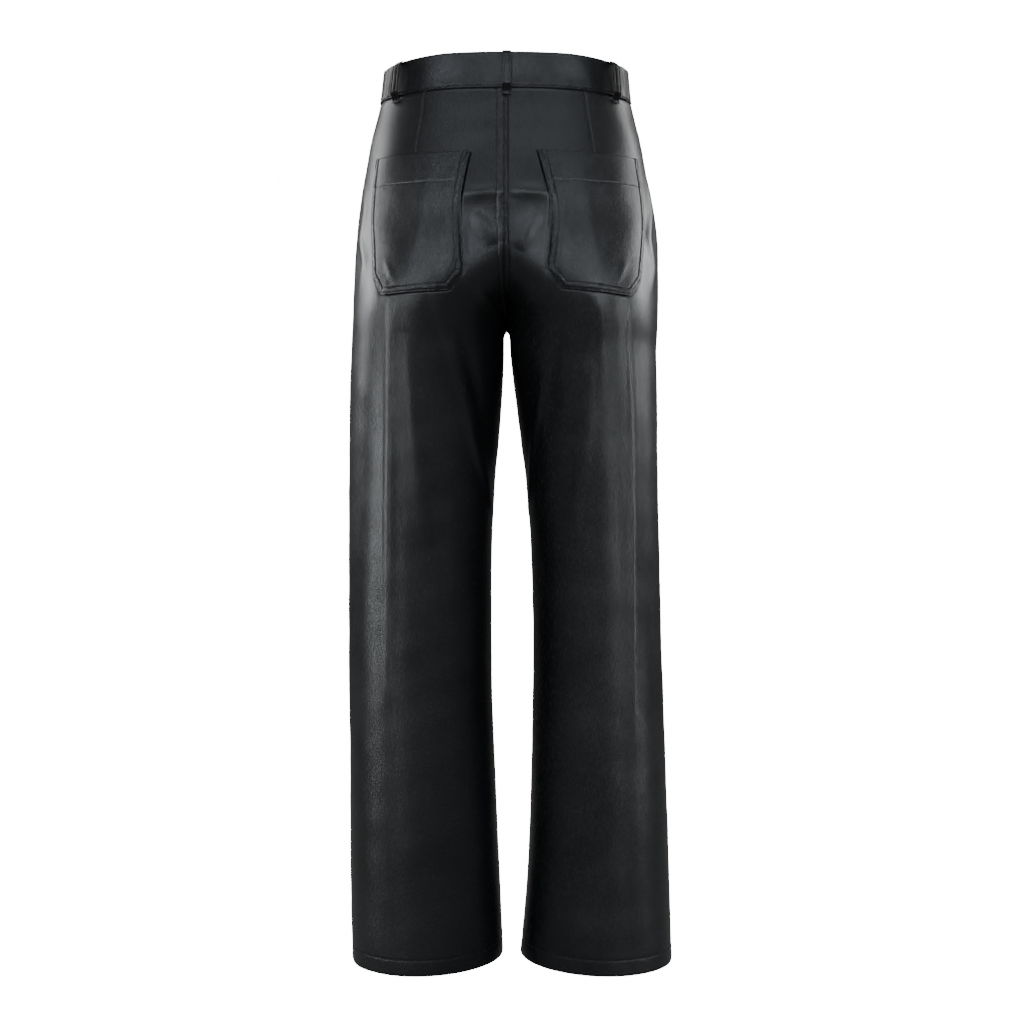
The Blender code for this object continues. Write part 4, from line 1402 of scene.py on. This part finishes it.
def pick_faces(wanted):
    """Selects the faces of the mesh being edited whose normals are wanted, for an inset."""
    bpy.ops.object.mode_set(mode="EDIT")
    mesh = bmesh.from_edit_mesh(bpy.context.object.data)
    for face_of in mesh.faces:
        face_of.select = wanted(face_of.normal)
    bmesh.update_edit_mesh(bpy.context.object.data)


def metal_piece(name, node):
    """Names the finished active piece, sets its place in its mesh, and stands it for its node."""
    piece = bpy.context.object
    piece.name = name
    piece.data.name = name
    bpy.ops.object.transform_apply(location=True, rotation=True, scale=True)
    piece.data.materials.append(dark_metal)
    bpy.ops.object.shade_smooth_by_angle(angle=math.radians(35))
    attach(piece, "root")
    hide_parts(node)
    return piece


SLIDER_LONG = 11 * MM
SLIDER_WIDE = 7 * MM
SLIDER_HEIGHT = -33 * MM
PULL_LONG = 14 * MM
SLIDER_DEEP = WALL + ZIP_SEAT + 1.0 * MM  # its middle, behind the front's surface
top_out, foot_out = section("front", np.array([SLIDER_HEIGHT, SLIDER_HEIGHT - SLIDER_LONG]))
lean = float(top_out - foot_out)
tilt = math.atan2(-lean, SLIDER_LONG)
body_at = front_point(0.0, SLIDER_HEIGHT, SLIDER_DEEP)
pull_at = front_point(0.0, SLIDER_HEIGHT - SLIDER_LONG / 2 - PULL_LONG / 2, SLIDER_DEEP)
# Columns: name, centre, size, which faces are inset, the inset's width and depth, and the
# rounding of the edges with its steps
PLATES = (
    (
        "zip_slider_body",
        body_at,
        (SLIDER_WIDE, 1.3 * MM, SLIDER_LONG),
        lambda normal: normal.y < -0.9,
        (1.3 * MM, 0.25 * MM),
        (0.45 * MM, 3),
    ),
    (
        "zip_slider_pull",
        pull_at,
        (4.2 * MM, 0.9 * MM, PULL_LONG),
        lambda normal: abs(normal.y) > 0.9,
        (1.0 * MM, -0.15 * MM),
        (0.3 * MM, 2),
    ),
)
for name, place, size, inset_faces, inset, rounding in PLATES:
    bpy.ops.object.select_all(action="DESELECT")
    bpy.ops.mesh.primitive_cube_add(size=1, location=place, rotation=(tilt, 0, 0))
    bpy.context.object.scale = size
    bpy.ops.object.transform_apply(location=False, rotation=False, scale=True)
    pick_faces(inset_faces)
    bpy.ops.mesh.inset(thickness=inset[0], depth=inset[1])
    bpy.ops.mesh.select_all(action="SELECT")
    bpy.ops.mesh.bevel(offset=rounding[0], segments=rounding[1], affect="EDGES")
    bpy.ops.object.mode_set(mode="OBJECT")
    metal_piece(name, "zip_slider")

# ---------------------------------------------------------------------------------------------
# Waist button: a round shanked metal button with a raised rim, on the band's left end.
# ---------------------------------------------------------------------------------------------
BUTTON_RADIUS = 8.5 * MM
BUTTON_THICK = 3.2 * MM
BUTTON_ACROSS = -14 * MM
BUTTON_SEAT = 0.5 * MM
# From the rim inward: each step's width and rise in mm
BUTTON_STEPS = ((1.1, 0), (0.5, -0.8), (1.6, 0.1), (1.6, 0.35), (1.6, 0.2))
degree = front_angle(BUTTON_ACROSS)
beside = ring_point(degree + 0.5, 0.0, 0.0) - ring_point(degree - 0.5, 0.0, 0.0)
above = ring_point(degree, 4 * MM, 0.0) - ring_point(degree, -4 * MM, 0.0)
out_of_band = Vector(np.cross(beside, above)).normalized()
if out_of_band.y > 0:
    out_of_band = -out_of_band
button_at = Vector(ring_point(degree, 0.0, BAND_PROUD + BAND_WALL + SEAM_GAP + BUTTON_SEAT))
button_at += out_of_band * BUTTON_THICK / 2
bpy.ops.object.select_all(action="DESELECT")
bpy.ops.mesh.primitive_cylinder_add(
    vertices=64,
    radius=BUTTON_RADIUS,
    depth=BUTTON_THICK,
    location=button_at,
    rotation=out_of_band.to_track_quat("Z", "Y").to_euler(),
)
pick_faces(lambda normal: normal.z > 0.9)
for wide, deep in BUTTON_STEPS:
    bpy.ops.mesh.inset(thickness=wide * MM, depth=deep * MM)
bpy.ops.object.mode_set(mode="OBJECT")
bevel = bpy.context.object.modifiers.new("round", "BEVEL")
bevel.width = 0.35 * MM
bevel.segments = 3
bevel.limit_method = "ANGLE"
bpy.ops.object.modifier_apply(modifier="round")
metal_piece("waist_button_metal", "waist_button")
